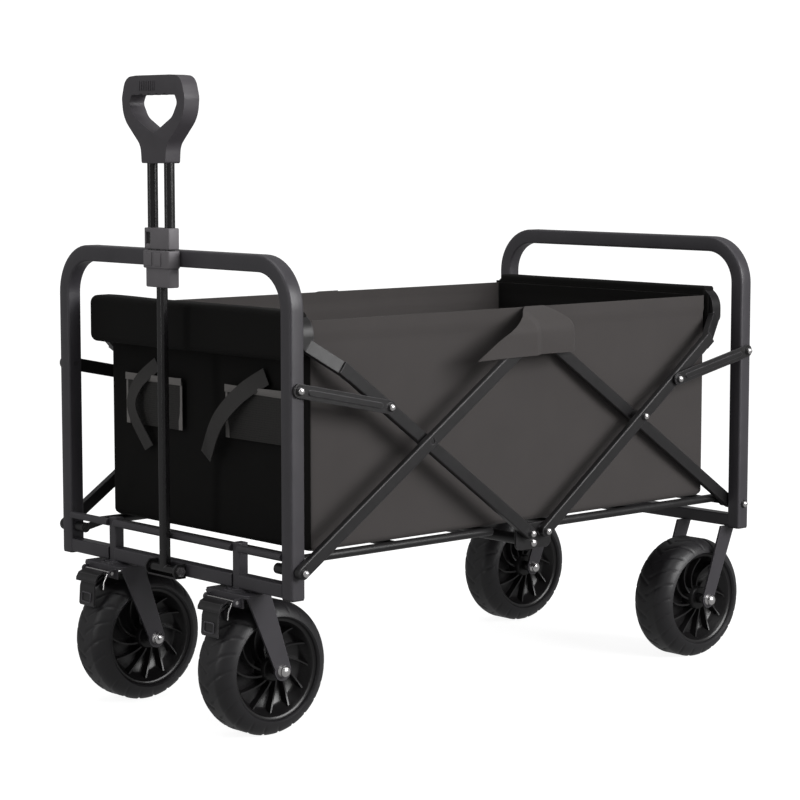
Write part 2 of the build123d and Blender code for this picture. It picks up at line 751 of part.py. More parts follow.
hoop_front = along(FRONT, frame_length / 2)
with BuildPart() as handle_collar:
    with BuildSketch(Plane.XY.offset(collar_shoulder)):
        with Locations((handle_x, 0)):
            RectangleRounded(2 * (hoop_front - 0.6 - handle_x), collar_width, 4)
    extrude(amount=collar_top - collar_shoulder)
    with BuildSketch(Plane.XY.offset(collar_bottom)):
        with Locations((handle_x, 0)):
            RectangleRounded(2 * (hoop_front - 0.6 - handle_x), collar_width, 4)
    extrude(amount=collar_shoulder - collar_bottom)
    # lips that clip over and under the hoop's top tube
    for z in (frame_top + collar_lip_gap, frame_top - tube - collar_lip_gap - collar_lip):
        with BuildSketch(Plane.XY.offset(z)):
            with Locations((hoop_front - 4 + (collar_lip_reach + 4) / 2, 0)):
                RectangleRounded(collar_lip_reach + 4, collar_width - 12, 1.5)
        extrude(amount=collar_lip)
    # passages for the tube and the two rods
    with BuildSketch(Plane.XY.offset(collar_bottom)):
        with Locations((handle_x, 0)):
            RectangleRounded(handle_depth, handle_width, 4)
        with Locations((handle_x, -rod_spacing / 2), (handle_x, rod_spacing / 2)):
            Circle(rod_d / 2 + sliding_gap)
    extrude(amount=collar_top - collar_bottom, mode=Mode.SUBTRACT)
save(handle_collar, "handle_collar")

with BuildPart() as handle_rods:
    with BuildSketch(Plane.XY.offset(rod_bottom)):
        with Locations((handle_x, -rod_spacing / 2), (handle_x, rod_spacing / 2)):
            Circle(rod_d / 2)
            Circle(rod_d / 2 - tube_wall, mode=Mode.SUBTRACT)
    extrude(amount=rod_top - rod_bottom)
save(handle_rods, "handle_rods")

with BuildPart() as handle_grip:
    half = grip_width / 2
    shoulder = grip_top - 52
    socket = grip_socket_width / 2
    with BuildSketch(Plane.YZ.offset(handle_x)):
        with BuildLine():
            Polyline(
                (-socket, grip_bottom), (socket, grip_bottom), (socket + 2, grip_bottom + 22),
                (half, shoulder), (half - 12, grip_top - 8), (half - 30, grip_top),
                (-half + 30, grip_top), (-half + 12, grip_top - 8), (-half, shoulder),
                (-socket - 2, grip_bottom + 22), close=True,
            )
        make_face()
        fillet(vertices().group_by(Axis.Y)[3:], 14)
        with BuildLine():
            Polyline(
                (-half + grip_bar, shoulder + 6), (-half + grip_bar + 10, grip_top - grip_bar),
                (half - grip_bar - 10, grip_top - grip_bar), (half - grip_bar, shoulder + 6),
                (0, grip_bottom + 40), close=True,
            )
        make_face(mode=Mode.SUBTRACT)
    extrude(amount=grip_depth / 2, both=True)
    with BuildSketch(Plane.XY.offset(grip_bottom)):
        with Locations((handle_x, -rod_spacing / 2), (handle_x, rod_spacing / 2)):
            Circle(rod_d / 2)
    extrude(amount=rod_top - grip_bottom, mode=Mode.SUBTRACT)
save(handle_grip, "handle_grip")

# ---- basket -------------------------------------------------------------------------------
with BuildPart() as basket_fabric:
    with BuildSketch(Plane.XY.offset(basket_bottom)):
        with Locations((frame_mid_x, 0)):
            RectangleRounded(basket_length, basket_width, basket_corner)
    extrude(amount=basket_top - basket_bottom)
    with BuildSketch(Plane.XY.offset(basket_bottom + fabric)):
        with Locations((frame_mid_x, 0)):
            RectangleRounded(basket_length - 2 * fabric, basket_width - 2 * fabric,
                             basket_corner - fabric)
    extrude(amount=basket_top - basket_bottom, mode=Mode.SUBTRACT)
save(basket_fabric, "basket_fabric")

# the hem of the basket's end walls, wrapped round the rails' top bars
sleeve_half = rail_top_y - rail_corner - 1
for end, node in ((FRONT, "front_roll"), (REAR, "rear_sleeve")):
    x = along(end, rail_bend_x)
    with BuildPart() as sleeve:
        with BuildSketch(side_plane(0)):
            with Locations((x, rail_top - bar_thickness / 2)):
                Rectangle(bar_width + 2 * sleeve_wall + 0.6, bar_thickness + 2 * sleeve_wall + 0.6)
            if end == FRONT:
                skirt_x = x - bar_width / 2 - sleeve_wall - 0.3
                with Locations((skirt_x - sleeve_skirt_thickness / 2,
                                rail_top + sleeve_wall + 0.3 - sleeve_skirt / 2)):
                    RectangleRounded(sleeve_skirt_thickness, sleeve_skirt, 4)
                with Locations((skirt_x - 6, rail_top + 1)):
                    Rectangle(14, 2.6)
            with Locations((x, rail_top - bar_thickness / 2)):
                Rectangle(bar_width + 0.6, bar_thickness + 0.6, mode=Mode.SUBTRACT)
        extrude(amount=sleeve_half, both=True)
    save(sleeve, node)

flap_y = outer_face + rivet_height
with BuildPart() as side_flaps:
    for side in SIDES:
        out = side * (flap_y + 1.5)
        with BuildSketch(side_plane(out)):
            with BuildLine():
                Polyline(
                    (frame_mid_x - side_flap_top / 2, basket_top + 4),
                    (frame_mid_x + side_flap_top / 2, basket_top + 4),
                    (frame_mid_x + side_flap_width / 2, basket_top + 4 - side_flap_drop),
                    (frame_mid_x - side_flap_width / 2, basket_top + 4 - side_flap_drop), close=True,
                )
            make_face()
        extrude(amount=fabric / 2, both=True)
        with BuildSketch(Plane.XY.offset(basket_top + sewn_gap)):
            with Locations((frame_mid_x, side * (flap_y + basket_width / 2) / 2)):
                Rectangle(side_flap_top, flap_y - basket_width / 2 + 3)
        extrude(amount=fabric)
save(side_flaps, "side_flaps")

wall_x = along(FRONT, basket_x)
strap_end = wall_x - sewn_gap - strap_thickness / 2
with BuildPart() as mesh_pockets:
    for side in SIDES:
        with BuildSketch(Plane.YZ.offset(wall_x - sewn_gap)):
            pocket_y = basket_width / 2 - pocket_width / 2 - pocket_inset
            with Locations((side * pocket_y, pocket_z + pocket_height / 2)):
                RectangleRounded(pocket_width, pocket_height, 4)
        extrude(amount=-pocket_depth)
save(mesh_pockets, "mesh_pockets")

with BuildPart() as wall_straps:
    for side in SIDES:
        y = side * strap_y
        with BuildSketch(Plane.XY.offset(strap_z)):
            with BuildLine():
                ThreePointArc((strap_end, y - strap_reach), (wall_x - strap_bow, y),
                              (strap_end, y + strap_reach))
            trace(line_width=strap_thickness)
        extrude(amount=strap_width)
save(wall_straps, "wall_straps")
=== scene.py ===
import math

import bmesh
import bpy
import numpy as np
from mathutils import Matrix, Vector, noise


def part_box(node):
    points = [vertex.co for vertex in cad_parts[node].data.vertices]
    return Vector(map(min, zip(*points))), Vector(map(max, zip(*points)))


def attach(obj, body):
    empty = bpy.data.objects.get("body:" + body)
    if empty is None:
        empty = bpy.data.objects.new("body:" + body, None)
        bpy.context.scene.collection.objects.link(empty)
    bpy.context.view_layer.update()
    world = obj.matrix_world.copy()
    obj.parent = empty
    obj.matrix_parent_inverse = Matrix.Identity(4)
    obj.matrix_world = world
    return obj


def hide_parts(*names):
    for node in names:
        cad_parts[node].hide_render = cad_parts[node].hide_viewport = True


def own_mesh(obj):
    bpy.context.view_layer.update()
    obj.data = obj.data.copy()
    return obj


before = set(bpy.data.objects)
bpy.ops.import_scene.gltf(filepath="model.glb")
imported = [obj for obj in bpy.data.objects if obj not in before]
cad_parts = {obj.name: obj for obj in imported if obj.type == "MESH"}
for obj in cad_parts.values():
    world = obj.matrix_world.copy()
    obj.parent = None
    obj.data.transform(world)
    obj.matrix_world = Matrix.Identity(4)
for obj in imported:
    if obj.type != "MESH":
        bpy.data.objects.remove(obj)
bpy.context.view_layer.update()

# ---- End hoops ----------------------------------------------------------------------------
# Two hoops of 22 mm square mild-steel tube, bent round at the top corners.  A baked powder coat
# covers them: satin black and faintly orange-peeled, with a greyer colour along the edges that is a
# painted highlight, broken up in patches by a rub pattern.
MM = 0.001
HOOP_TUBE = 22 * MM
HOOP_BEND = 57 * MM          # of the tube's middle line
HOOP_EDGE = 3.2 * MM
BEND_STEPS = 14


def linear(hex_colour):
    """An sRGB hex colour as the linear RGBA that a socket holds."""
    parts = [int(hex_colour[i:i + 2], 16) / 255 for i in (1, 3, 5)]
    return (*[p / 12.92 if p <= 0.04045 else ((p + 0.055) / 1.055) ** 2.4 for p in parts], 1.0)


def add(tree, kind, inputs=(), **settings):
    """A new node with its settings; an input takes a value, or is linked when given a socket."""
    made = tree.nodes.new(kind)
    for key, value in settings.items():
        setattr(made, key, value)
    for key, value in dict(inputs).items():
        if isinstance(value, bpy.types.NodeSocket):
            tree.links.new(value, made.inputs[key])
        else:
            made.inputs[key].default_value = value
    return made


def coated_steel(name, body, edge_highlight_tone, roughness, peel_mm=1.6, edge_mm=1.3):
    """Powder-coated steel: body colour, a lighter colour on its edges as a painted highlight, and its orange
    peel.
    """
    made = bpy.data.materials.new(name)
    made.use_nodes = True
    tree = made.node_tree
    tree.nodes.clear()
    place = add(tree, "ShaderNodeTexCoord").outputs["Object"]
    surface = add(tree, "ShaderNodeNewGeometry")
    rounded = add(tree, "ShaderNodeBevel", {"Radius": edge_mm * MM}, samples=4)
    facing = add(tree, "ShaderNodeVectorMath", {0: rounded.outputs["Normal"],
                                                1: surface.outputs["True Normal"]},
                 operation="DOT_PRODUCT")
    edge = add(tree, "ShaderNodeMapRange", {"Value": facing.outputs["Value"], "From Min": 0.999,
                                            "From Max": 0.90, "To Min": 0.0, "To Max": 1.0})
    cloud = add(tree, "ShaderNodeTexNoise", {"Vector": place, "Scale": 1 / (35 * MM), "Detail": 4.0})
    rub = add(tree, "ShaderNodeTexNoise", {"Vector": place, "Scale": 1 / (9 * MM), "Detail": 3.0})
    # Painted highlight: the lighter edge colour goes where the surface turns at an edge, in rubbed patches.
    edge_highlight_mask = add(tree, "ShaderNodeMath", {0: edge.outputs["Result"], 1: rub.outputs["Fac"]},
               operation="MULTIPLY")
    tone = add(tree, "ShaderNodeMix", {"Factor": edge_highlight_mask.outputs["Value"], 6: linear(body), 7: linear(edge_highlight_tone)},
               data_type="RGBA")
    patchy = add(tree, "ShaderNodeHueSaturation", {"Color": tone.outputs[2], "Value": add(
        tree, "ShaderNodeMapRange", {"Value": cloud.outputs["Fac"], "To Min": 0.82, "To Max": 1.18}
    ).outputs["Result"]})
    peel = add(tree, "ShaderNodeTexNoise", {"Vector": place, "Scale": 1 / (peel_mm * MM), "Detail": 2.0})
    relief = add(tree, "ShaderNodeBump", {"Height": peel.outputs["Fac"], "Strength": 0.12,
                                          "Distance": 0.15 * MM,
                                          "Normal": rounded.outputs["Normal"]})
    matt = add(tree, "ShaderNodeMapRange", {"Value": rub.outputs["Fac"], "To Min": roughness - 0.06,
                                            "To Max": roughness + 0.08})
    shader = add(tree, "ShaderNodeBsdfPrincipled", {
        "Base Color": patchy.outputs["Color"], "Roughness": matt.outputs["Result"],
        "Normal": relief.outputs["Normal"], "IOR": 1.5})
    add(tree, "ShaderNodeOutputMaterial", {"Surface": shader.outputs["BSDF"]})
    return made


# The second colour is the painted highlight along the tube's edges.
powder_coat = coated_steel("graphite powder coat on steel tube", "#3d3b3f", "#77747a", 0.38)


def finished(name, vertices, faces, material, body, slot, replaced=(), smooth_under=35):
    """A mesh piece from vertices and faces in the frame, riding on its body."""
    mesh = bpy.data.meshes.new(name)
    mesh.from_pydata([tuple(v) for v in vertices], [], [tuple(int(i) for i in f) for f in faces])
    mesh.validate()
    mesh.materials.append(material)
    mesh.shade_smooth()
    mesh.set_sharp_from_angle(angle=math.radians(smooth_under))
    made = bpy.data.objects.new(name, mesh)
    bpy.context.scene.collection.objects.link(made)
    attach(made, body)
    if replaced:
        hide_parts(*replaced)
    return made


def rounded_section(width, depth, radius, steps=4):
    """The outline of a rectangle with rounded corners, turning anticlockwise."""
    points = []
    for quarter, (sx, sy) in enumerate(((1, 1), (-1, 1), (-1, -1), (1, -1))):
        for i in range(steps + 1):
            angle = math.radians(90 * (quarter + i / steps))
            points.append((sx * (width / 2 - radius) + radius * math.cos(angle),
                           sy * (depth / 2 - radius) + radius * math.sin(angle)))
    return points


def swept(path, section, across, closed=False):
    """A section carried along a path that lies in a plane whose normal is across."""
    path = [Vector(p) for p in path]
    across = Vector(across).normalized()
    count, around = len(path), len(section)
    vertices, faces = [], []
    for i, point in enumerate(path):
        before = path[i - 1] if i or closed else point
        after = path[(i + 1) % count] if i + 1 < count or closed else point
        forward = (after - before).normalized()
        outward = across.cross(forward)
        vertices += [point + outward * a + across * b for a, b in section]
    for i in range(count if closed else count - 1):
        a, b = i * around, ((i + 1) % count) * around
        faces += [(a + j, a + (j + 1) % around, b + (j + 1) % around, b + j) for j in range(around)]
    if not closed:
        faces += [tuple(range(around))[::-1], tuple(range((count - 1) * around, count * around))]
    return vertices, faces


def rounded_corner(before, here, after, bend, steps):
    """Points along the arc that turns the corner at here on the given radius."""
    a, b = (before - here).normalized(), (after - here).normalized()
    half = a.angle(b) / 2
    reach = bend / math.tan(half)
    centre = here + (a + b).normalized() * bend / math.sin(half)
    start, end = here + a * reach - centre, here + b * reach - centre
    turn = start.angle(end)
    return [centre + (start * math.sin((1 - t) * turn) + end * math.sin(t * turn)) / math.sin(turn)
            for t in [i / steps for i in range(steps + 1)]]


def bent_path(corners, bend, steps=BEND_STEPS):
    """Straight runs between corners, each corner turned on an arc of the given radius."""
    corners = [Vector(c) for c in corners]
    path = [corners[0]]
    for before, here, after in zip(corners, corners[1:], corners[2:]):
        path += rounded_corner(before, here, after, bend, steps)
    return path + [corners[-1]]


for end in ("front", "rear"):
    low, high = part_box(f"{end}_hoop")
    x = (low.x + high.x) / 2
    y, top = high.y - HOOP_TUBE / 2, high.z - HOOP_TUBE / 2
    line = bent_path([(x, -y, low.z), (x, -y, top), (x, y, top), (x, y, low.z)], HOOP_BEND)
    tube = swept(line, rounded_section(HOOP_TUBE, HOOP_TUBE, HOOP_EDGE), (1, 0, 0))
    finished(f"{end}_hoop_tube", *tube, powder_coat, f"{end}_frame", "frame_steel", [f"{end}_hoop"])

for name in ("front_cross_tube", "front_thin_tube", "rear_cross_tube", "caster_posts"):
    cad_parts[name].data.materials[0] = powder_coat

# ---- Tube-end caps ------------------------------------------------------------------------
# Push-in polypropylene caps close the hoops' feet: moulded, matt, a little greyer than the steel.


def moulded_plastic(name, colour, roughness, grain_mm, relief=0.08):
    """An injection-moulded plastic with a fine spark-eroded grain and faint flow marks."""
    made = bpy.data.materials.new(name)
    made.use_nodes = True
    tree = made.node_tree
    tree.nodes.clear()
    place = add(tree, "ShaderNodeTexCoord").outputs["Object"]
    grain = add(tree, "ShaderNodeTexNoise", {"Vector": place, "Scale": 1 / (grain_mm * MM), "Detail": 3.0})
    flow = add(tree, "ShaderNodeTexNoise", {"Vector": place, "Scale": 1 / (28 * MM), "Detail": 2.0,
                                            "Distortion": 0.6})
    shade = add(tree, "ShaderNodeMapRange", {"Value": flow.outputs["Fac"], "To Min": 0.86, "To Max": 1.14})
    colour_here = add(tree, "ShaderNodeHueSaturation", {"Color": linear(colour),
                                                        "Value": shade.outputs["Result"]})
    matt = add(tree, "ShaderNodeMapRange", {"Value": grain.outputs["Fac"], "To Min": roughness - 0.07,
                                            "To Max": roughness + 0.07})
    bump = add(tree, "ShaderNodeBump", {"Height": grain.outputs["Fac"], "Strength": relief,
                                        "Distance": 0.2 * MM})
    shader = add(tree, "ShaderNodeBsdfPrincipled", {
        "Base Color": colour_here.outputs["Color"], "Roughness": matt.outputs["Result"],
        "Normal": bump.outputs["Normal"], "IOR": 1.49})
    add(tree, "ShaderNodeOutputMaterial", {"Surface": shader.outputs["BSDF"]})
    return made


cap_plastic = moulded_plastic("moulded polypropylene, black", "#2b292b", 0.55, 0.8)
for end in ("front", "rear"):
    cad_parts[f"{end}_end_caps"].data.materials[0] = cap_plastic

# ---- Folding sides ------------------------------------------------------------------------
# Flat-sided steel tube with rounded ends, pierced for its rivets, powder-coated a deeper black
# than the hoops.
# Its grey edge colour is a painted highlight, as on the hoops.
black_coat = coated_steel("black powder coat on flat-sided tube", "#1b1a1b", "#6f6c70", 0.36)
for name in ("scissor_bar_front_left", "scissor_bar_front_right", "scissor_bar_rear_left",
             "scissor_bar_rear_right", "front_basket_rail", "rear_basket_rail", "front_struts", "rear_struts",
             "top_brackets", "bottom_bracket", "floor_frame_front", "floor_frame_rear"):
    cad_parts[name].data.materials[0] = black_coat

# ---- Rivets -------------------------------------------------------------------------------
# Zinc-plated semi-tubular rivets.  Each pin's coated boss is in the CAD; the bright dome pressed
# into its middle is instanced on the pins by geometry nodes.
DOME_R = 4.6 * MM
SIGNS = (-1, 1)


def plated_steel(name, colour, roughness):
    """Zinc-plated steel, faintly mottled."""
    made = bpy.data.materials.new(name)
    made.use_nodes = True
    tree = made.node_tree
    tree.nodes.clear()
    place = add(tree, "ShaderNodeTexCoord").outputs["Object"]
    spangle = add(tree, "ShaderNodeTexNoise", {"Vector": place, "Scale": 1 / (4 * MM), "Detail": 3.0})
    matt = add(tree, "ShaderNodeMapRange", {"Value": spangle.outputs["Fac"], "To Min": roughness - 0.08,
                                            "To Max": roughness + 0.12})
    shader = add(tree, "ShaderNodeBsdfPrincipled", {
        "Base Color": linear(colour), "Metallic": 1.0, "Roughness": matt.outputs["Result"]})
    add(tree, "ShaderNodeOutputMaterial", {"Surface": shader.outputs["BSDF"]})
    return made


zinc = plated_steel("bright zinc plate on steel", "#e4e2e2", 0.24)


def dome_tree(material):
    """Geometry nodes that put a flattened ball on every point of the mesh they are given."""
    tree = bpy.data.node_groups.new("rivet domes", "GeometryNodeTree")
    tree.interface.new_socket("Geometry", in_out="INPUT", socket_type="NodeSocketGeometry")
    tree.interface.new_socket("Radius", in_out="INPUT", socket_type="NodeSocketFloat")
    tree.interface.new_socket("Rise", in_out="INPUT", socket_type="NodeSocketFloat")
    tree.interface.new_socket("Geometry", in_out="OUTPUT", socket_type="NodeSocketGeometry")
    given = add(tree, "NodeGroupInput")
    ball = add(tree, "GeometryNodeMeshUVSphere", {"Segments": 24, "Rings": 12, "Radius": 1.0})
    size = add(tree, "ShaderNodeCombineXYZ", {"X": given.outputs["Radius"], "Y": given.outputs["Rise"],
                                              "Z": given.outputs["Radius"]})
    put = add(tree, "GeometryNodeInstanceOnPoints", {
        "Points": given.outputs["Geometry"], "Instance": ball.outputs["Mesh"],
        "Scale": size.outputs["Vector"]})
    real = add(tree, "GeometryNodeRealizeInstances", {"Geometry": put.outputs["Instances"]})
    coated = add(tree, "GeometryNodeSetMaterial", {"Geometry": real.outputs["Geometry"],
                                                   "Material": material})
    add(tree, "NodeGroupOutput", {"Geometry": coated.outputs["Geometry"]})
    return tree


DOMES = dome_tree(zinc)


def domes(name, points, radius, rise, body):
    """Bright domes at points, pressed into the heads of a body's rivets."""
    mesh = bpy.data.meshes.new(name)
    mesh.from_pydata([tuple(p) for p in points], [], [])
    made = bpy.data.objects.new(name, mesh)
    bpy.context.scene.collection.objects.link(made)
    modifier = made.modifiers.new("domes", "NODES")
    modifier.node_group = DOMES
    for item in DOMES.interface.items_tree:
        if item.in_out == "INPUT" and item.name in ("Radius", "Rise"):
            modifier[item.identifier] = radius if item.name == "Radius" else rise
    seen = made.evaluated_get(bpy.context.evaluated_depsgraph_get())
    built = bpy.data.meshes.new_from_object(seen)
    made.modifiers.clear()
    made.data = built
    built.shade_smooth()
    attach(made, body)
    return made


def islands(node):
    """The separate solids of a CAD node, each as its low and high corners."""
    mesh = bmesh.new()
    mesh.from_mesh(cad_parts[node].data)
    mesh.transform(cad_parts[node].matrix_world)
    bmesh.ops.remove_doubles(mesh, verts=mesh.verts, dist=1e-5)
    left, found = set(mesh.verts), []
    while left:
        front, group = [left.pop()], []
        while front:
            vertex = front.pop()
            group.append(vertex.co.copy())
            for edge in vertex.link_edges:
                other = edge.other_vert(vertex)
                if other in left:
                    left.remove(other)
                    front.append(other)
        found.append((Vector([min(c[i] for c in group) for i in range(3)]),
                      Vector([max(c[i] for c in group) for i in range(3)])))
    mesh.free()
    return found


def rivet_heads(node):
    """The middles of a node's outward rivet heads."""
    spots = []
    for low, high in islands(node):
        middle = (low + high) / 2
        outward = 1 if middle.y > 0 else -1
        if high.z - low.z < 20 * MM:
            spots.append(Vector((middle.x, high.y if outward > 0 else low.y, middle.z)))
    return spots


for name, body in (("front_frame_rivets", "front_frame"), ("rear_frame_rivets", "rear_frame"),
                   ("rail_foot_rivets", "rear_rail"), ("scissor_pins_rear", "rear_scissor")):
    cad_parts[name].data.materials[0] = black_coat
    domes(name.replace("rivets", "domes").replace("pins", "domes"), rivet_heads(name), DOME_R, 3.0 * MM, body)
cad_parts["scissor_pins_front"].data.materials[0] = black_coat
for name, body, end in (("front_struts", "front_strut", -1), ("rear_struts", "rear_strut", 1)):
    low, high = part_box(name)
    x = high.x - 9 * MM if end < 0 else low.x + 9 * MM
    points = [(x, sign * high.y, low.z + 9 * MM) for sign in SIGNS]
    domes(f"{name}_domes", points, DOME_R, 3.0 * MM, body)
low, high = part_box("bottom_bracket")
middle = (low.x + high.x) / 2
points = [(middle - 15 * MM, sign * high.y, high.z - 12 * MM) for sign in SIGNS]
domes("bracket_domes", points, DOME_R, 3.0 * MM, "bottom_link")
points = [(middle, sign * (high.y - 15 * MM), low.z + 8 * MM) for sign in SIGNS]
domes("tie_domes", points, 5.5 * MM, 3.5 * MM, "bottom_link")

# ---- Wheels -------------------------------------------------------------------------------
# A moulded rubber tyre with a rounded shoulder and shallow slanting grooves, on a deep dish rim
# of black nylon with twelve curved fan blades on each face.  Lathed about the axle.
AROUND = 288
BLADES = 12
GROOVES = 22
GROOVE_DEPTH = 1.7


def lathed(centre, profile, around, shape=None):
    """A closed section of (y, r) in millimetres turned about the axle through centre."""
    vertices, faces, count = [], [], len(profile)
    for i in range(around):
        angle = 2 * math.pi * i / around
        for y, r in profile:
            reach = r - (shape(angle, y, r) if shape else 0)
            vertices.append((centre.x + reach * MM * math.cos(angle), centre.y + y * MM,
                             centre.z + reach * MM * math.sin(angle)))
    for i in range(around):
        a, b = i * count, ((i + 1) % around) * count
        faces += [(a + j, b + j, b + (j + 1) % count, a + (j + 1) % count) for j in range(count)]
    return vertices, faces


def tread(angle, y, r):
    """How deep a groove is cut at a place on the tyre: slanting lines that run over the shoulder."""
    if r < 74:
        return 0
    swing = angle * GROOVES / (2 * math.pi) + abs(y) * 0.028 + (0.5 if y > 0 else 0)
    off = abs((swing % 1) - 0.5) * 2 * math.pi * 89 / GROOVES
    edge = min(1, max(0, (34.5 - abs(y)) / 3))
    return GROOVE_DEPTH * edge * max(0, 1 - (off / 2.0) ** 2)


def arc(cy, cr, radius, start, end, steps):
    return [(cy + radius * math.cos(math.radians(start + (end - start) * i / steps)),
             cr + radius * math.sin(math.radians(start + (end - start) * i / steps)))
             for i in range(steps + 1)]


half = [(30.5, 66.6), (32.8, 67.2), (34.4, 68.6), (35.4, 69.6)] + arc(11, 64.6, 24.9, 14, 80, 14) + [
    (12, 89.0), (9, 89.0), (6, 89.0), (3, 89.0)]
TYRE = [(-y, r) for y, r in half] + [(0, 89.0)] + half[::-1]
DISH = [(30.5, 66.8), (28.8, 65.0), (28.4, 63.0), (25, 60.6), (12, 55.5), (9, 52), (6, 22), (7, 18.5),
        (24, 17.0),
        (26, 15.5), (26, 7.6)]
RIM = [(y, r) for y, r in DISH] + [(-y, r) for y, r in DISH[::-1]]


def blade(centre, turn, face):
    """One curved fan blade that stands out of the dish, from hub to rim."""
    vertices, faces, steps = [], [], 10
    for i in range(steps + 1):
        t = i / steps
        r = (17 + 42 * t) * MM
        angle = turn + face * math.radians(34) * t * (1.35 - 0.35 * t)
        outer = face * (20 - 4.5 * math.sin(math.pi * t) + 3.5 * t) * MM
        inner = face * 3 * MM
        for side in (-1, 1):
            shift = side * (1.5 - 0.4 * t) * MM / r
            for y in (inner, outer):
                vertices.append((centre.x + r * math.cos(angle + shift), centre.y + y,
                                 centre.z + r * math.sin(angle + shift)))
    for i in range(steps):
        a, b = 4 * i, 4 * i + 4
        for p, q in ((0, 1), (1, 3), (3, 2), (2, 0)):
            faces.append((a + p, a + q, b + q, b + p))
    faces += [(0, 2, 3, 1), (4 * steps, 4 * steps + 1, 4 * steps + 3, 4 * steps + 2)]
    return vertices, faces


def joined(*parts):
    """Several (vertices, faces) as one."""
    vertices, faces = [], []
    for more, rings in parts:
        faces += [tuple(i + len(vertices) for i in ring) for ring in rings]
        vertices += list(more)
    return vertices, faces


def facing_out(piece):
    """Turn a closed mesh's faces outwards."""
    mesh = bmesh.new()
    mesh.from_mesh(piece.data)
    bmesh.ops.recalc_face_normals(mesh, faces=mesh.faces)
    mesh.to_mesh(piece.data)
    mesh.free()
    return piece


rubber = moulded_plastic("moulded rubber", "#232224", 0.42, 0.9, 0.12)
nylon = moulded_plastic("moulded nylon, black", "#191819", 0.30, 1.2, 0.05)
for end in ("front", "rear"):
    for side in ("left", "right"):
        node = f"{end}_{side}"
        low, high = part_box(f"tyre_{node}")
        centre = (low + high) / 2
        facing_out(finished(f"{node}_tyre", *lathed(centre, TYRE, AROUND, tread), rubber,
                            f"{end}_wheel_{side}",
                            "tyre", [f"tyre_{node}"], smooth_under=50))
        fans = [blade(centre, 2 * math.pi * i / BLADES, face) for i in range(BLADES) for face in (-1, 1)]
        facing_out(finished(f"{node}_rim", *joined(lathed(centre, RIM, 96), *fans), nylon,
                            f"{end}_wheel_{side}", "rim_plastic", [f"rim_{node}"], smooth_under=40))
        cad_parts[f"hub_bush_{node}"].data.materials[0] = nylon

# ---- Casters, brakes and rear wheel arms --------------------------------------------------
# Pressed 3.5 mm steel, powder-coated like the hoops, with bright plated bolts; a pressed
# rectangle stiffens each brake plate.
for side in ("left", "right"):
    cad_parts[f"caster_fork_{side}"].data.materials[0] = powder_coat
    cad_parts[f"brake_pedal_{side}"].data.materials[0] = powder_coat
    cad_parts[f"caster_bolts_{side}"].data.materials[0] = zinc
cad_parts["rear_wheel_mounts"].data.materials[0] = powder_coat
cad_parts["rear_axles"].data.materials[0] = zinc
for side in ("left", "right"):
    low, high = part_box(f"caster_bolts_{side}")
    hub = (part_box(f"tyre_front_{side}")[0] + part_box(f"tyre_front_{side}")[1]) / 2
    domes(f"caster_{side}_caps", [(hub.x, low.y, hub.z), (hub.x, high.y, hub.z)], 7.4 * MM, 4.5 * MM,
          f"caster_{side}")
for side, sign in (("left", -1), ("right", 1)):
    low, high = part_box(f"tyre_rear_{side}")
    hub, reach = (low + high) / 2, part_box("rear_axles")[1].y - abs((low + high).y / 2)
    domes(f"rear_{side}_caps", [(hub.x, hub.y - reach, hub.z), (hub.x, hub.y + reach, hub.z)], 7.4 * MM,
          4.5 * MM, "rear_frame")



def plate(points, y0, y1, thick):
    """Sheet steel folded along a line of (x, z) points, between two Y values, all in metres."""
    section, count = [], len(points)
    for sign in (0.5, -0.5):
        line = []
        for i, point in enumerate(points):
            before, after = points[max(0, i - 1)], points[min(count - 1, i + 1)]
            run = Vector((after[0] - before[0], after[1] - before[1])).normalized()
            line.append((point[0] - run.y * thick * sign, point[1] + run.x * thick * sign))
        section += line if sign > 0 else line[::-1]
    around = len(section)
    vertices = [(x, y, z) for y in (y0, y1) for x, z in section]
    faces = [(i, (i + 1) % around, around + (i + 1) % around, around + i) for i in range(around)]
    for i in range(count - 1):
        faces.append((i, around - 1 - i, around - 2 - i, i + 1))
        faces.append((around + i, around + i + 1, 2 * around - 2 - i, 2 * around - 1 - i))
    return vertices, faces


def wire(points, radius):
    """A round wire along points in one plane across Y."""
    ring = [(radius * math.cos(a), radius * math.sin(a)) for a in [math.radians(45 * i) for i in range(8)]]
    return swept(points, ring, (0, 1, 0))


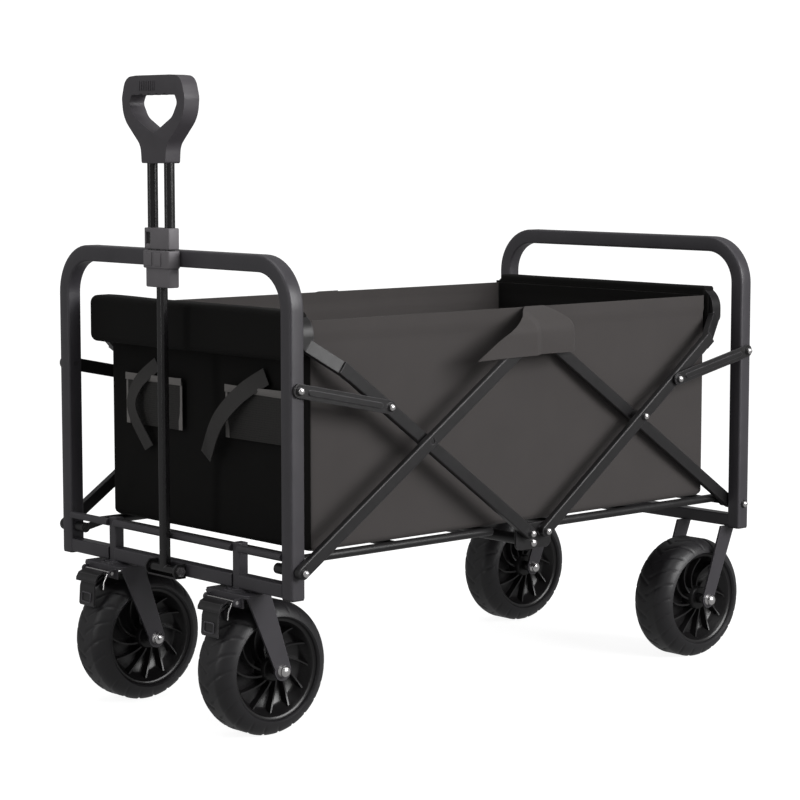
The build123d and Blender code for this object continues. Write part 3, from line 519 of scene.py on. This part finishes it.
for side in ("left", "right"):
    low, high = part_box(f"brake_pedal_{side}")
    y, pin_x, pin_z = (low.y + high.y) / 2, high.x - 3.5 * MM, high.z - 3.5 * MM
    tread_plate = [(pin_x, pin_z), (pin_x - 7 * MM, pin_z + 1 * MM), (low.x + 6 * MM, pin_z - 3 * MM),
                   (low.x + 2.5 * MM, pin_z - 9 * MM), (low.x + 2.2 * MM, pin_z - 13 * MM)]
    stop_plate = [(pin_x - 1 * MM, pin_z - 4 * MM), (low.x + 7 * MM, pin_z - 12 * MM),
                  (low.x + 4.5 * MM, pin_z - 20 * MM),
                  (low.x + 3 * MM, low.z + 3 * MM), (low.x + 4.5 * MM, low.z + 0.6 * MM)]
    pedal = joined(plate(tread_plate, y - 23 * MM, y + 23 * MM, 2.4 * MM),
                   plate(stop_plate, y - 17 * MM, y + 17 * MM, 2.4 * MM))
    facing_out(finished(f"brake_{side}_plates", *pedal, black_coat, f"brake_{side}", "pressed_steel",
                        [f"brake_pedal_{side}"]))
    down = Vector((low.x + 3 * MM - (low.x + 4.5 * MM), 0, low.z + 3 * MM - (pin_z - 20 * MM))).normalized()
    out = Vector((down.z, 0, -down.x))
    middle = Vector((low.x + 3.2 * MM, y, low.z + 12 * MM)) + out * 1.2 * MM
    loop = [middle + Vector((0, 1, 0)) * a * MM + down * b * MM for a, b in rounded_section(20, 13, 2.5, 3)]
    bead = [(1.1 * MM * math.cos(a), 1.1 * MM * math.sin(a))
            for a in [math.radians(45 * i) for i in range(8)]]
    facing_out(finished(f"brake_{side}_pressing", *swept(loop, bead, out, closed=True), powder_coat,
                        f"brake_{side}", "pressed_steel"))
    pin = lathed(Vector((pin_x, y, pin_z)), [(-32.5, 2.4), (-32.5, 0.1), (32.5, 0.1), (32.5, 2.4)], 24)
    legs = [wire([(pin_x - 3 * MM, y + s * 26 * MM, pin_z - 1 * MM),
                  (pin_x - 9 * MM, y + s * 26 * MM, pin_z - 12 * MM),
                  (pin_x - 10 * MM, y + s * 26 * MM, pin_z - 22 * MM)], 0.8 * MM) for s in SIGNS]
    facing_out(finished(f"brake_{side}_pin", *joined(pin, *legs), zinc, f"brake_{side}", "bright_hardware"))

# ---- Pull handle --------------------------------------------------------------------------
# A powder-coated tube in a bolted foot, two sliding rods, a nylon collar clipped to the hoop, and
# a moulded grip with finger hollows under its bar and a ribbed patch.
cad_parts["handle_bracket"].data.materials[0] = black_coat
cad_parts["handle_bolt"].data.materials[0] = zinc
# The grey edge colour is a painted highlight along the rod's edges.
rod_coat = coated_steel("gloss black coat on steel rod", "#161516", "#8a878a", 0.22)
for name in ("handle_rods", "handle_tube"):
    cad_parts[name].data.materials[0] = rod_coat
grip_plastic = moulded_plastic("moulded nylon, dark grey", "#464347", 0.50, 0.9)
collar_plastic = moulded_plastic("moulded nylon, grey", "#6c696c", 0.52, 0.9)


def rounded_outline(points, steps=6):
    """A closed polygon of (a, b, radius) corners with each corner turned on its radius."""
    line, count = [], len(points)
    for i, (a, b, radius) in enumerate(points):
        before, here, after = Vector(points[i - 1][:2]), Vector((a, b)), Vector(points[(i + 1) % count][:2])
        line += rounded_corner(before, here, after, radius, steps) if radius > 0 else [here]
    return line


def moulding(name, outlines, depth, edge, x, material, body, slot, replaced):
    """Outlines in Y and Z, in millimetres, given a depth along X and rounded edges."""
    curve = bpy.data.curves.new(name, "CURVE")
    curve.dimensions, curve.fill_mode = "2D", "BOTH"
    curve.extrude = depth / 2 * MM
    for outline in outlines:
        line = curve.splines.new("POLY")
        line.points.add(len(outline) - 1)
        for point, (a, b) in zip(line.points, outline):
            point.co = (a * MM, b * MM, 0, 1)
        line.use_cyclic_u = True
    shape = bpy.data.objects.new(name, curve)
    bpy.context.scene.collection.objects.link(shape)
    flat = bpy.data.meshes.new_from_object(shape.evaluated_get(bpy.context.evaluated_depsgraph_get()))
    bpy.data.objects.remove(shape)
    solid = bmesh.new()
    solid.from_mesh(flat)
    bmesh.ops.remove_doubles(solid, verts=solid.verts, dist=2e-5)
    bmesh.ops.dissolve_limit(solid, angle_limit=math.radians(0.5), verts=solid.verts, edges=solid.edges)
    bmesh.ops.recalc_face_normals(solid, faces=solid.faces)
    sharp = [e for e in solid.edges if len(e.link_faces) == 2 and e.calc_face_angle(0) > math.radians(60)]
    bmesh.ops.bevel(solid, geom=sharp, offset=edge * MM, segments=4, affect="EDGES", profile=0.5,
                    clamp_overlap=True)
    mesh = bpy.data.meshes.new(name)
    solid.to_mesh(mesh)
    solid.free()
    mesh.transform(Matrix(((0, 0, 1, x), (1, 0, 0, 0), (0, 1, 0, 0), (0, 0, 0, 1))))
    cleaned = bmesh.new()
    cleaned.from_mesh(mesh)
    bmesh.ops.remove_doubles(cleaned, verts=cleaned.verts, dist=2e-5)
    vertices = [v.co.copy() for v in cleaned.verts]
    faces = [[v.index for v in f.verts] for f in cleaned.faces]
    cleaned.free()
    return facing_out(finished(name, vertices, faces, material, body, slot, replaced))


def block(low, high, edge):
    """A box in millimetres with chamfered edges along X, Y and Z."""
    mesh = bmesh.new()
    bmesh.ops.create_cube(mesh, size=1)
    for vertex in mesh.verts:
        vertex.co = Vector([((l + h) / 2 + c * (h - l)) * MM for l, h, c in zip(low, high, vertex.co)])
    bmesh.ops.bevel(mesh, geom=list(mesh.edges), offset=edge * MM, segments=3, affect="EDGES", profile=0.5)
    mesh.verts.index_update()
    made = [v.co.copy() for v in mesh.verts], [[v.index for v in f.verts] for f in mesh.faces]
    mesh.free()
    return made


low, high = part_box("handle_grip")
grip_x, base, peak = (low.x + high.x) / 2, low.z / MM, high.z / MM
right_half = [(26, base, 3), (28, base + 23, 22), (66, peak - 55, 40), (69, peak - 29, 20),
              (61, peak - 2, 18),
              (37, peak, 20)]
outside = rounded_outline(right_half + [(-y, z, radius) for y, z, radius in right_half[::-1]])
hollows = [(y, peak - 23 - 2.6 * abs(math.cos(math.pi * y / 17)), 0) for y in range(-38, 39, 2)]
inside = rounded_outline([(0, base + 38, 14), (-42, peak - 54, 22), (-53, peak - 36, 8),
                          (-47, peak - 25, 5)] + hollows
                         + [(47, peak - 25, 5), (53, peak - 36, 8), (42, peak - 54, 22)])
moulding("grip", [outside, inside], 24, 6.5, grip_x, grip_plastic, "grip", "grip_plastic", ["handle_grip"])
face_x = grip_x / MM - 12
ribs = [block((face_x - 0.9, y, peak - 20), (face_x + 1.5, y + 2.4, peak - 7), 0.4) for y in range(-4, 32, 4)]
finished("grip_ribs", *joined(*ribs), grip_plastic, "grip", "grip_plastic")

low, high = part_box("handle_collar")
front, back = low.x / MM, high.x / MM
column = [
    block((front, -27, 629), (back - 17, 14, 657), 1.6), block((front, 24, 629), (back - 17, 27, 657), 1.2),
    block((front, 13, 651), (back - 17, 25, 657), 1.6), block((front, 13, 629), (back - 17, 25, 636), 1.6),
    block((front + 7, 12, 632), (back - 18, 26, 655), 1.0),
    block((front - 1.6, -28.5, 604), (back - 17, 28.5, 627.5), 1.8),
    block((front - 3.2, -12, 607), (front + 2, 2, 625), 1.2),
    block((front - 3.2, 8, 607), (front + 2, 24, 625), 1.2),
    block((front + 1, -26.4, 579), (back - 17, 26.4, 606), 2.2),
    block((front + 3, -20, 600), (back - 17, 20, 633), 1.5)]
finished("collar", *joined(*column), collar_plastic, "handle", "grip_plastic", ["handle_collar"])

# ---- Basket -------------------------------------------------------------------------------
# One open bag of dark PU-coated 600-denier polyester, hung by its rims between the rails: a
# thin closed shell grown from loops that run down the walls and in over the floor, with slack
# folds pushed into it, and a turned and stitched hem round the top.
WALL = 1.6 * MM


def woven(name, colour, thread_mm, roughness, relief=0.35, sheen=0.06, gloss=0.5):
    """A plain-weave cloth: threads over and under in relief, uneven dye and a slight sheen."""
    made = bpy.data.materials.new(name)
    made.use_nodes = True
    tree = made.node_tree
    tree.nodes.clear()
    place = add(tree, "ShaderNodeUVMap").outputs["UV"]
    waves = []
    for direction in ("X", "Y"):
        waves.append(add(tree, "ShaderNodeTexWave", {"Vector": place, "Scale": 0.31 / (thread_mm * MM),
                                                     "Distortion": 0.6, "Detail": 1.0, "Detail Scale": 2.0},
                         wave_type="BANDS", bands_direction=direction).outputs["Fac"])
    height = add(tree, "ShaderNodeMath", {0: waves[0], 1: waves[1]}, operation="MAXIMUM").outputs["Value"]
    uneven = add(tree, "ShaderNodeTexNoise", {"Vector": place, "Scale": 1 / (60 * MM), "Detail": 5.0})
    fleck = add(tree, "ShaderNodeTexNoise", {"Vector": place, "Scale": 1 / (1.4 * MM), "Detail": 2.0})
    shade = add(tree, "ShaderNodeMapRange", {"Value": uneven.outputs["Fac"], "To Min": 0.88, "To Max": 1.12})
    thread = add(tree, "ShaderNodeMapRange", {"Value": fleck.outputs["Fac"], "To Min": 0.90, "To Max": 1.10})
    both = add(tree, "ShaderNodeMath", {0: shade.outputs["Result"], 1: thread.outputs["Result"]},
               operation="MULTIPLY").outputs["Value"]
    dyed = add(tree, "ShaderNodeHueSaturation", {"Color": linear(colour), "Value": both})
    bump = add(tree, "ShaderNodeBump", {"Height": height, "Strength": relief, "Distance": 0.12 * MM})
    shader = add(tree, "ShaderNodeBsdfPrincipled", {
        "Base Color": dyed.outputs["Color"], "Roughness": roughness, "Normal": bump.outputs["Normal"],
        "Specular IOR Level": gloss, "Sheen Weight": sheen, "Sheen Roughness": 0.5})
    add(tree, "ShaderNodeOutputMaterial", {"Surface": shader.outputs["BSDF"]})
    return made


canvas = woven("PU-coated 600-denier polyester, charcoal", "#3a3635", 0.7, 0.78)
# A darker copy of the charcoal canvas: painted shade for the bag's end walls and the pieces at its ends.
end_canvas_painted_shade = woven("PU-coated 600-denier polyester, charcoal in painted shade", "#0d0c0b", 0.7, 0.8, 0.35, 0.0, 0.2)


def cloth(name, grid, thickness, material, body, slot, replaced=(), wrapped=False):
    """A closed shell of even thickness behind a grid of points, its UVs in metres along the cloth."""
    grid = np.array([[tuple(p) for p in row] for row in grid])
    rows, columns = grid.shape[:2]
    across = (np.roll(grid, -1, 1) - np.roll(grid, 1, 1)) if wrapped else np.gradient(grid, axis=1)
    down = np.gradient(grid, axis=0)
    normal = np.cross(across, down)
    normal /= np.maximum(np.linalg.norm(normal, axis=2, keepdims=True), 1e-9)
    back = grid + normal * thickness
    u = np.zeros((rows, columns))
    u[:, 1:] = np.cumsum(np.linalg.norm(np.diff(grid[:1], axis=1), axis=2), axis=1)
    v = np.zeros((rows, columns))
    v[1:] = np.cumsum(np.linalg.norm(np.diff(grid, axis=0), axis=2), axis=0)
    vertices = np.concatenate([grid.reshape(-1, 3), back.reshape(-1, 3)])
    uvs = np.concatenate([np.stack([u, v], 2).reshape(-1, 2)] * 2)
    total, faces = rows * columns, []
    last = columns if wrapped else columns - 1
    for i in range(rows - 1):
        for j in range(last):
            a, b = i * columns + j, i * columns + (j + 1) % columns
            c, d = b + columns, a + columns
            faces += [(a, b, c, d), (total + d, total + c, total + b, total + a)]
    rim = [j for j in range(columns)]
    foot = [(rows - 1) * columns + j for j in range(columns)]
    for line, flip in ((rim, True), (foot, False)):
        if wrapped and not flip:
            continue
        for j in range(last):
            a, b = line[j], line[(j + 1) % columns]
            faces.append((b, a, total + a, total + b) if flip else (a, b, total + b, total + a))
    if wrapped:
        faces += [tuple(foot), tuple(total + i for i in foot[::-1])]
    else:
        for j, flip in ((0, False), (columns - 1, True)):
            for i in range(rows - 1):
                a, b = i * columns + j, (i + 1) * columns + j
                faces.append((b, a, total + a, total + b) if flip else (a, b, total + b, total + a))
    made = finished(name, vertices, faces, material, body, slot, replaced, smooth_under=60)
    layer = made.data.uv_layers.new(name="cut")
    for loop in made.data.loops:
        layer.data[loop.index].uv = uvs[loop.vertex_index]
    return facing_out(made)


low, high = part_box("basket_fabric")
mid_x = (low.x + high.x) / 2
length, width = high.x - low.x, high.y - low.y
LIP, FOOT = high.z, low.z
CORNER = 6 * MM


def loop_points(inset, corner, per_metre=115):
    """Points round the basket's plan, anticlockwise from its front left corner, with their normals."""
    a, b = length / 2 - inset, width / 2 - inset
    r = min(corner, a * 0.9, b * 0.9)
    points = []
    for (cx, cy), start, run in (((a - r, -b + r), 270, 2 * (a - r)), ((a - r, b - r), 0, 2 * (b - r)),
                                 ((-a + r, b - r), 90, 2 * (a - r)), ((-a + r, -b + r), 180, 2 * (b - r))):
        side = Vector((math.cos(math.radians(start)), math.sin(math.radians(start)), 0))
        along = Vector((-side.y, side.x, 0))
        count = round((length if abs(side.y) > 0.5 else width) * per_metre)
        corner_at = Vector((mid_x + cx, cy, 0))
        for i in range(count):
            points.append((corner_at + side * r - along * run * (1 - i / count), side))
        for i in range(5):
            angle = math.radians(start + 90 * i / 5)
            out = Vector((math.cos(angle), math.sin(angle), 0))
            points.append((corner_at + out * r, out))
    return points


def slack(place, out, z):
    """How far the cloth stands in or out at a place: a bow, creases off the corners, small folds."""
    t = (z - FOOT) / (LIP - FOOT)
    side_run = abs(out.y) > 0.5
    s = (place.x - mid_x) / (length / 2) if side_run else place.y / (width / 2)
    hold = (1 - s * s) * math.sin(math.pi * min(1, max(0, t)))
    bow = 3.0 * hold * (1 if side_run else 1.4)
    crease = 0.0
    for corner_s, corner_t in ((-1, 1), (1, 1), (-1, 0), (1, 0)):
        ds, dt = (s - corner_s) * (1.7 if side_run else 1.0), (t - corner_t)
        away = math.hypot(ds, dt)
        fan = math.sin(7.5 * math.atan2(abs(dt), abs(ds)) + 1.3 * corner_s)
        crease += 1.1 * fan * math.exp(-away * 3.0) * min(1, away * 5)
    ripple = noise.noise(Vector((place.x * 9, place.y * 9, z * 14))) * 1.5 * hold
    sag = noise.noise(Vector((place.x * 26, place.y * 26, z * 5))) * 0.7 * min(1, hold * 3)
    return (-bow * 0.6 + crease * min(1, hold * 5) + ripple + sag) * MM


rows = []
heights = list(np.linspace(LIP, FOOT + 8 * MM, 46))
for z in heights:
    tuck = 0.4 * MM if z > LIP - 24 * MM else 1.4 * MM
    row = []
    for place, out in loop_points(0.0, CORNER):
        shift = slack(place, out, z) if z < LIP - 30 * MM else slack(place, out, LIP - 30 * MM) * 0.4
        row.append(place + out * (min(shift, 0.6 * MM) - tuck) + Vector((0, 0, z)))
    rows.append(row)
for inset, z in ((2, 4.5), (5, 1.2), (9, 0.2)):
    rows.append([p + Vector((0, 0, FOOT + z * MM)) for p, _ in loop_points(inset * MM, CORNER)])
for inset in (20, 45, 80, 120, 160, 195, 213):
    rows.append([p + Vector((0, 0, FOOT)) for p, _ in loop_points(inset * MM, CORNER)])
basket = cloth("basket_bag", rows, WALL, canvas, "basket", "basket_fabric", ["basket_fabric"], wrapped=True)

# Painted shade: the end walls, whose faces turn along X away from the side key light, take the darker canvas.
basket.data.materials.append(end_canvas_painted_shade)
for face in basket.data.polygons:
    if abs(face.normal.x) > 0.6:
        face.material_index = 1
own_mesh(basket)

# ---- Rim sleeves --------------------------------------------------------------------------
# The front wall's cloth is rolled over foam round the front rail; the rear wall's is sewn in a
# plain sleeve round the rear rail.  Both are drawn in the darker canvas, painted shade for the ends.


def bolster(name, x, z, depth, height, half_width, corner, end_round, body, replaced, sag=1.0):
    """A stuffed roll along Y: a rounded section that closes in over its two ends."""
    section = rounded_section(depth, height, corner, 7)
    stations = [(-half_width + end_round * (1 - math.cos(math.radians(a))),
                 math.sin(math.radians(a))) for a in range(0, 91, 15)]
    middle = list(np.linspace(-half_width + end_round * 1.4, half_width - end_round * 1.4, 60))
    runs = stations + [(y, 1.0) for y in middle] + [(-y, grow) for y, grow in stations[::-1]]
    vertices, faces, around = [], [], len(section)
    for y, grow in runs:
        shrink = (1 - grow) * end_round
        for a, c in section:
            dent = noise.noise(Vector((a * 30 + 7, y * 11, c * 22))) * sag * MM * grow
            reach = math.hypot(a, c)
            keep = max(0.15, (reach - shrink + dent) / reach)
            vertices.append((x + a * keep, y, z + c * keep))
    for i in range(len(runs) - 1):
        faces += [(i * around + j, i * around + (j + 1) % around, (i + 1) * around + (j + 1) % around,
                   (i + 1) * around + j) for j in range(around)]
    faces += [tuple(range(around))[::-1], tuple(range((len(runs) - 1) * around, len(runs) * around))]
    made = finished(name, vertices, faces, end_canvas_painted_shade, body, "basket_fabric", replaced, smooth_under=50)
    layer = made.data.uv_layers.new(name="cut")
    for loop in made.data.loops:
        place = made.data.vertices[loop.vertex_index].co
        layer.data[loop.index].uv = (place.y, place.z + place.x)
    return facing_out(made)


low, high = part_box("front_roll")
roll_back = high.x + 1 * MM
roll_front = low.x - 1.5 * MM
roll = bolster("front_rim_roll", (roll_front + roll_back) / 2, (low.z + high.z) / 2, roll_back - roll_front,
               high.z - low.z + 2 * MM, 219 * MM, 9 * MM, 10 * MM, "front_rail", ["front_roll"])
low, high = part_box("rear_sleeve")
sleeve = bolster("rear_rim_sleeve", (low.x + high.x) / 2, (low.z + high.z) / 2, high.x - low.x,
                 high.z - low.z,
                 216 * MM, 4 * MM, 3 * MM, "rear_rail", ["rear_sleeve"], 0.3)

# The rear skirt is in the darker canvas too: painted shade.
rear_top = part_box("basket_fabric")[1]
panel_x = rear_top.x + 0.3 * MM
grid = [[(panel_x, -224 * MM + 448 * MM * j / 60, rear_top.z + 3 * MM - 62 * MM * i / 12) for j in range(61)]
        for i in range(13)]
skirt = cloth("rear_rim_skirt", grid, 1.2 * MM, end_canvas_painted_shade, "rear_rail", "basket_fabric")

# ---- Side flaps ---------------------------------------------------------------------------
# A piece of the basket's cloth is sewn to each side's rim and folded down over the scissor bars'
# top ends: it stands out over the front bar and falls back to the wall behind it.
low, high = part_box("side_flaps")
bar_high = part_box("scissor_bar_front_right")[1]
FLAP_OUT = bar_high.y + 4.2 * MM
flap_stations = [mid_x + s * MM for s in (-24, -4, 60, 84)]     # bar end, bracket, bracket's end, wall
flap_reach = [FLAP_OUT, 259 * MM, 257.5 * MM, 236 * MM]
for side, sign in (("left", -1), ("right", 1)):
    grid = []
    for i in range(29):
        v = i / 28
        row = []
        for j in range(57):
            u = j / 56
            top_x = mid_x + (3 + 37 * u) * MM
            foot_x = low.x - 40 * MM + (high.x - low.x + 40 * MM) * u
            x = top_x + (foot_x - top_x) * v
            far = float(np.interp(x, flap_stations, flap_reach))
            rise = math.sin(math.radians(90 * min(1, v * 1.6)))
            y = width / 2 + 0.8 * MM + (far - width / 2) * rise
            ripple = noise.noise(Vector((x * 12, v * 2.2, 3.1 * sign))) * 1.6 * v
            z = LIP + 1.0 * MM - (LIP - low.z) * v * (0.6 + 0.4 * v) + 1.5 * MM * math.sin(math.pi * u) * v
            row.append((x, sign * (y + ripple * MM), z))
        grid.append(row if sign < 0 else row[::-1])
    flap = cloth(f"{side}_flap", grid, 1.4 * MM, canvas, "top_link", "basket_fabric",
                 ["side_flaps"] if side == "left" else ())

# ---- Front wall pockets -------------------------------------------------------------------
# Two flat pockets of knitted mesh with bound edges, sewn to the front wall.


def net(name, colour, hole_mm):
    """Warp-knitted mesh: rows of round holes in a black ground, set half a pitch apart."""
    made = bpy.data.materials.new(name)
    made.use_nodes = True
    tree = made.node_tree
    tree.nodes.clear()
    place = add(tree, "ShaderNodeUVMap").outputs["UV"]
    cells = add(tree, "ShaderNodeTexVoronoi", {"Vector": place, "Scale": 1 / (hole_mm * 1.6 * MM),
                                               "Randomness": 0.12})
    hole = add(tree, "ShaderNodeMapRange", {"Value": cells.outputs["Distance"], "From Min": 0.26,
                                            "From Max": 0.34, "To Min": 0.0, "To Max": 1.0})
    tone = add(tree, "ShaderNodeMix", {"Factor": hole.outputs["Result"], 6: linear("#0b0b0b"),
                                       7: linear(colour)},
               data_type="RGBA")
    bump = add(tree, "ShaderNodeBump", {"Height": hole.outputs["Result"], "Strength": 0.6,
                                        "Distance": 0.3 * MM})
    shader = add(tree, "ShaderNodeBsdfPrincipled", {"Base Color": tone.outputs[2], "Roughness": 0.7,
                                                    "Normal": bump.outputs["Normal"]})
    add(tree, "ShaderNodeOutputMaterial", {"Surface": shader.outputs["BSDF"]})
    return made


knitted = net("knitted polyester mesh, black", "#262422", 1.9)
binding = woven("polyester binding tape, grey", "#7a7775", 0.5, 0.75)
webbing = woven("polypropylene webbing, charcoal", "#2f2d2c", 1.3, 0.6, 0.8)
low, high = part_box("mesh_pockets")
wall_x = high.x


def panel(name, y0, y1, z0, z1, lift, bulge, thickness, material, slot_name, replaced=()):
    """A flat piece on the front wall that stands off it by lift and bellies out by bulge."""
    grid = []
    for i in range(17):
        v = i / 16
        row = []
        for j in range(25):
            u = j / 24
            belly = math.sin(math.pi * u) ** 0.6 * (1 - (2 * v - 0.6) ** 2 * 0.5) * bulge
            row.append((wall_x - (lift + max(0, belly)) * MM, y1 + (y0 - y1) * u, z1 + (z0 - z1) * v))
        grid.append(row)
    piece = cloth(name, grid, thickness * MM, material, "basket", slot_name, replaced)
    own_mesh(piece)
    return piece


for side, sign in (("right", 1), ("left", -1)):
    y0, y1 = sorted((sign * 48 * MM, sign * 177 * MM))
    bottom, top = low.z, high.z
    bound = [panel(f"{side}_pocket_binding", y0, y1, top - 5 * MM, top + 5 * MM, 4.2, 3.4, 1.0, binding,
                   "webbing")]
    for edge, (a, b) in (("outer", (y1 - 8 * MM, y1) if sign > 0 else (y0, y0 + 6 * MM)),
                         ("inner", (y0, y0 + 8 * MM) if sign > 0 else (y1 - 8 * MM, y1))):
        bound.append(panel(f"{side}_pocket_{edge}_edge", a, b, bottom, top - 5 * MM, 2.6, 0.2, 0.8, binding,
                           "webbing"))
    pocket = panel(f"{side}_pocket", y0, y1, bottom, top, 2.0, 3.4, 1.0, knitted, "mesh",
                   ["mesh_pockets"] if side == "left" else ())

# ---- Webbing straps -----------------------------------------------------------------------
# Two short lengths of 25 mm webbing are sewn to the front wall at their ends and bow out between.


def strap(name, line, tape, replaced=()):
    """A tape along a line of (y, z, stand-off) in millimetres on the front wall."""
    knots = [Vector((wall_x - off * MM, y * MM, z * MM)) for y, z, off in line]
    path = []
    for i in range(len(knots) - 1):
        before, after = knots[max(0, i - 1)], knots[min(len(knots) - 1, i + 2)]
        a, b = knots[i], knots[i + 1]
        for j in range(10):
            t = j / 10
            path.append(0.5 * (2 * a + (b - before) * t + (2 * before - 5 * a + 4 * b - after) * t * t
                               + (3 * a - before - 3 * b + after) * t ** 3))
    path.append(knots[-1])
    grid = []
    for i, point in enumerate(path):
        forward = (path[min(i + 1, len(path) - 1)] - path[max(i - 1, 0)]).normalized()
        side = forward.cross(Vector((-1, 0, 0))).normalized()
        grid.append([point + side * (tape * MM * (j / 6 - 0.5)) for j in range(7)])
    piece = cloth(name, grid, 1.4 * MM, webbing, "basket", "webbing", replaced)
    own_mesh(piece)
    return piece


strap("left_strap", [(-134, 467, 1.5), (-92, 441, 12), (-50, 402, 17), (-14, 352, 9)], 24, ["wall_straps"])
strap("right_strap", [(104, 467, 1.5), (136, 438, 12), (146, 402, 15), (122, 350, 4)], 20)

# ---- Studio -------------------------------------------------------------------------------
# A pale floor that runs up into a pale wall, one broad soft light on the wagon's left side, a
# weaker one over it, and a camera at eye height off the front left corner.
CAMERA_AT = (-2.3028, -2.5543, 0.7725)
CAMERA_TURN = 41.74           # degrees from +Y towards +X
CAMERA_DOWN = 6.21
LENS = 107.96                 # mm on a 36 mm sensor


def studio_surface(name, colour, roughness, glow):
    """Matt board that is lit from behind, so it shows white."""
    made = bpy.data.materials.new(name)
    made.use_nodes = True
    tree = made.node_tree
    tree.nodes.clear()
    shader = add(tree, "ShaderNodeBsdfPrincipled", {
        "Base Color": linear(colour), "Roughness": roughness, "Emission Color": (1.0, 1.0, 1.0, 1.0),
        "Emission Strength": glow})
    add(tree, "ShaderNodeOutputMaterial", {"Surface": shader.outputs["BSDF"]})
    return made


def area_light(name, place, aim, width, height, power):
    data = bpy.data.lights.new(name, "AREA")
    data.shape = "RECTANGLE"
    data.size, data.size_y, data.energy = width, height, power
    made = bpy.data.objects.new(name, data)
    made.location = place
    made.rotation_euler = (Vector(aim) - Vector(place)).to_track_quat("-Z", "Y").to_euler()
    bpy.context.scene.collection.objects.link(made)
    return made


floor_mesh = bpy.data.meshes.new("studio_floor")
floor_mesh.from_pydata([(-14, -14, 0), (14, -14, 0), (14, 14, 0), (-14, 14, 0)], [], [(0, 1, 2, 3)])
floor_mesh.materials.append(studio_surface("lit white board", "#a8a8a8", 1.0, 0.9))
studio_floor = bpy.data.objects.new("studio_floor", floor_mesh)
bpy.context.scene.collection.objects.link(studio_floor)
studio_floor.visible_diffuse = studio_floor.visible_glossy = False
backdrop_mesh = bpy.data.meshes.new("studio_backdrop")
backdrop_mesh.from_pydata([(-14, 9, -0.1), (9, -14, -0.1), (9, -14, 12), (-14, 9, 12)], [], [(0, 1, 2, 3)])
backdrop_mesh.materials.append(studio_surface("backlit white screen", "#000000", 1.0, 1.1))
backdrop = bpy.data.objects.new("studio_backdrop", backdrop_mesh)
backdrop.location = (6, 6, 0)
backdrop.visible_diffuse = backdrop.visible_glossy = backdrop.visible_shadow = False
bpy.context.scene.collection.objects.link(backdrop)

area_light("side_key", (1.0, -3.4, 1.7), (0.05, 0, 0.35), 2.4, 1.8, 120)
area_light("top_fill", (-0.6, -0.2, 3.4), (0, 0, 0.3), 3.0, 3.0, 40)
area_light("front_strip", (-3.0, 0.7, 1.3), (-0.4, 0, 0.5), 0.35, 2.4, 10)

world = bpy.data.worlds.new("studio")
world.use_nodes = True
world.node_tree.nodes["Background"].inputs["Color"].default_value = (1.0, 1.0, 1.0, 1.0)
world.node_tree.nodes["Background"].inputs["Strength"].default_value = 0.28
bpy.context.scene.world = world
bpy.context.scene.view_settings.view_transform = "Standard"

camera_data = bpy.data.cameras.new("camera")
camera_data.lens = LENS
camera_data.clip_end = 60
camera = bpy.data.objects.new("camera", camera_data)
camera.location = CAMERA_AT
turn, down = math.radians(CAMERA_TURN), math.radians(CAMERA_DOWN)
look = Vector((math.sin(turn) * math.cos(down), math.cos(turn) * math.cos(down), -math.sin(down)))
camera.rotation_euler = look.to_track_quat("-Z", "Y").to_euler()
bpy.context.scene.collection.objects.link(camera)
bpy.context.scene.camera = camera
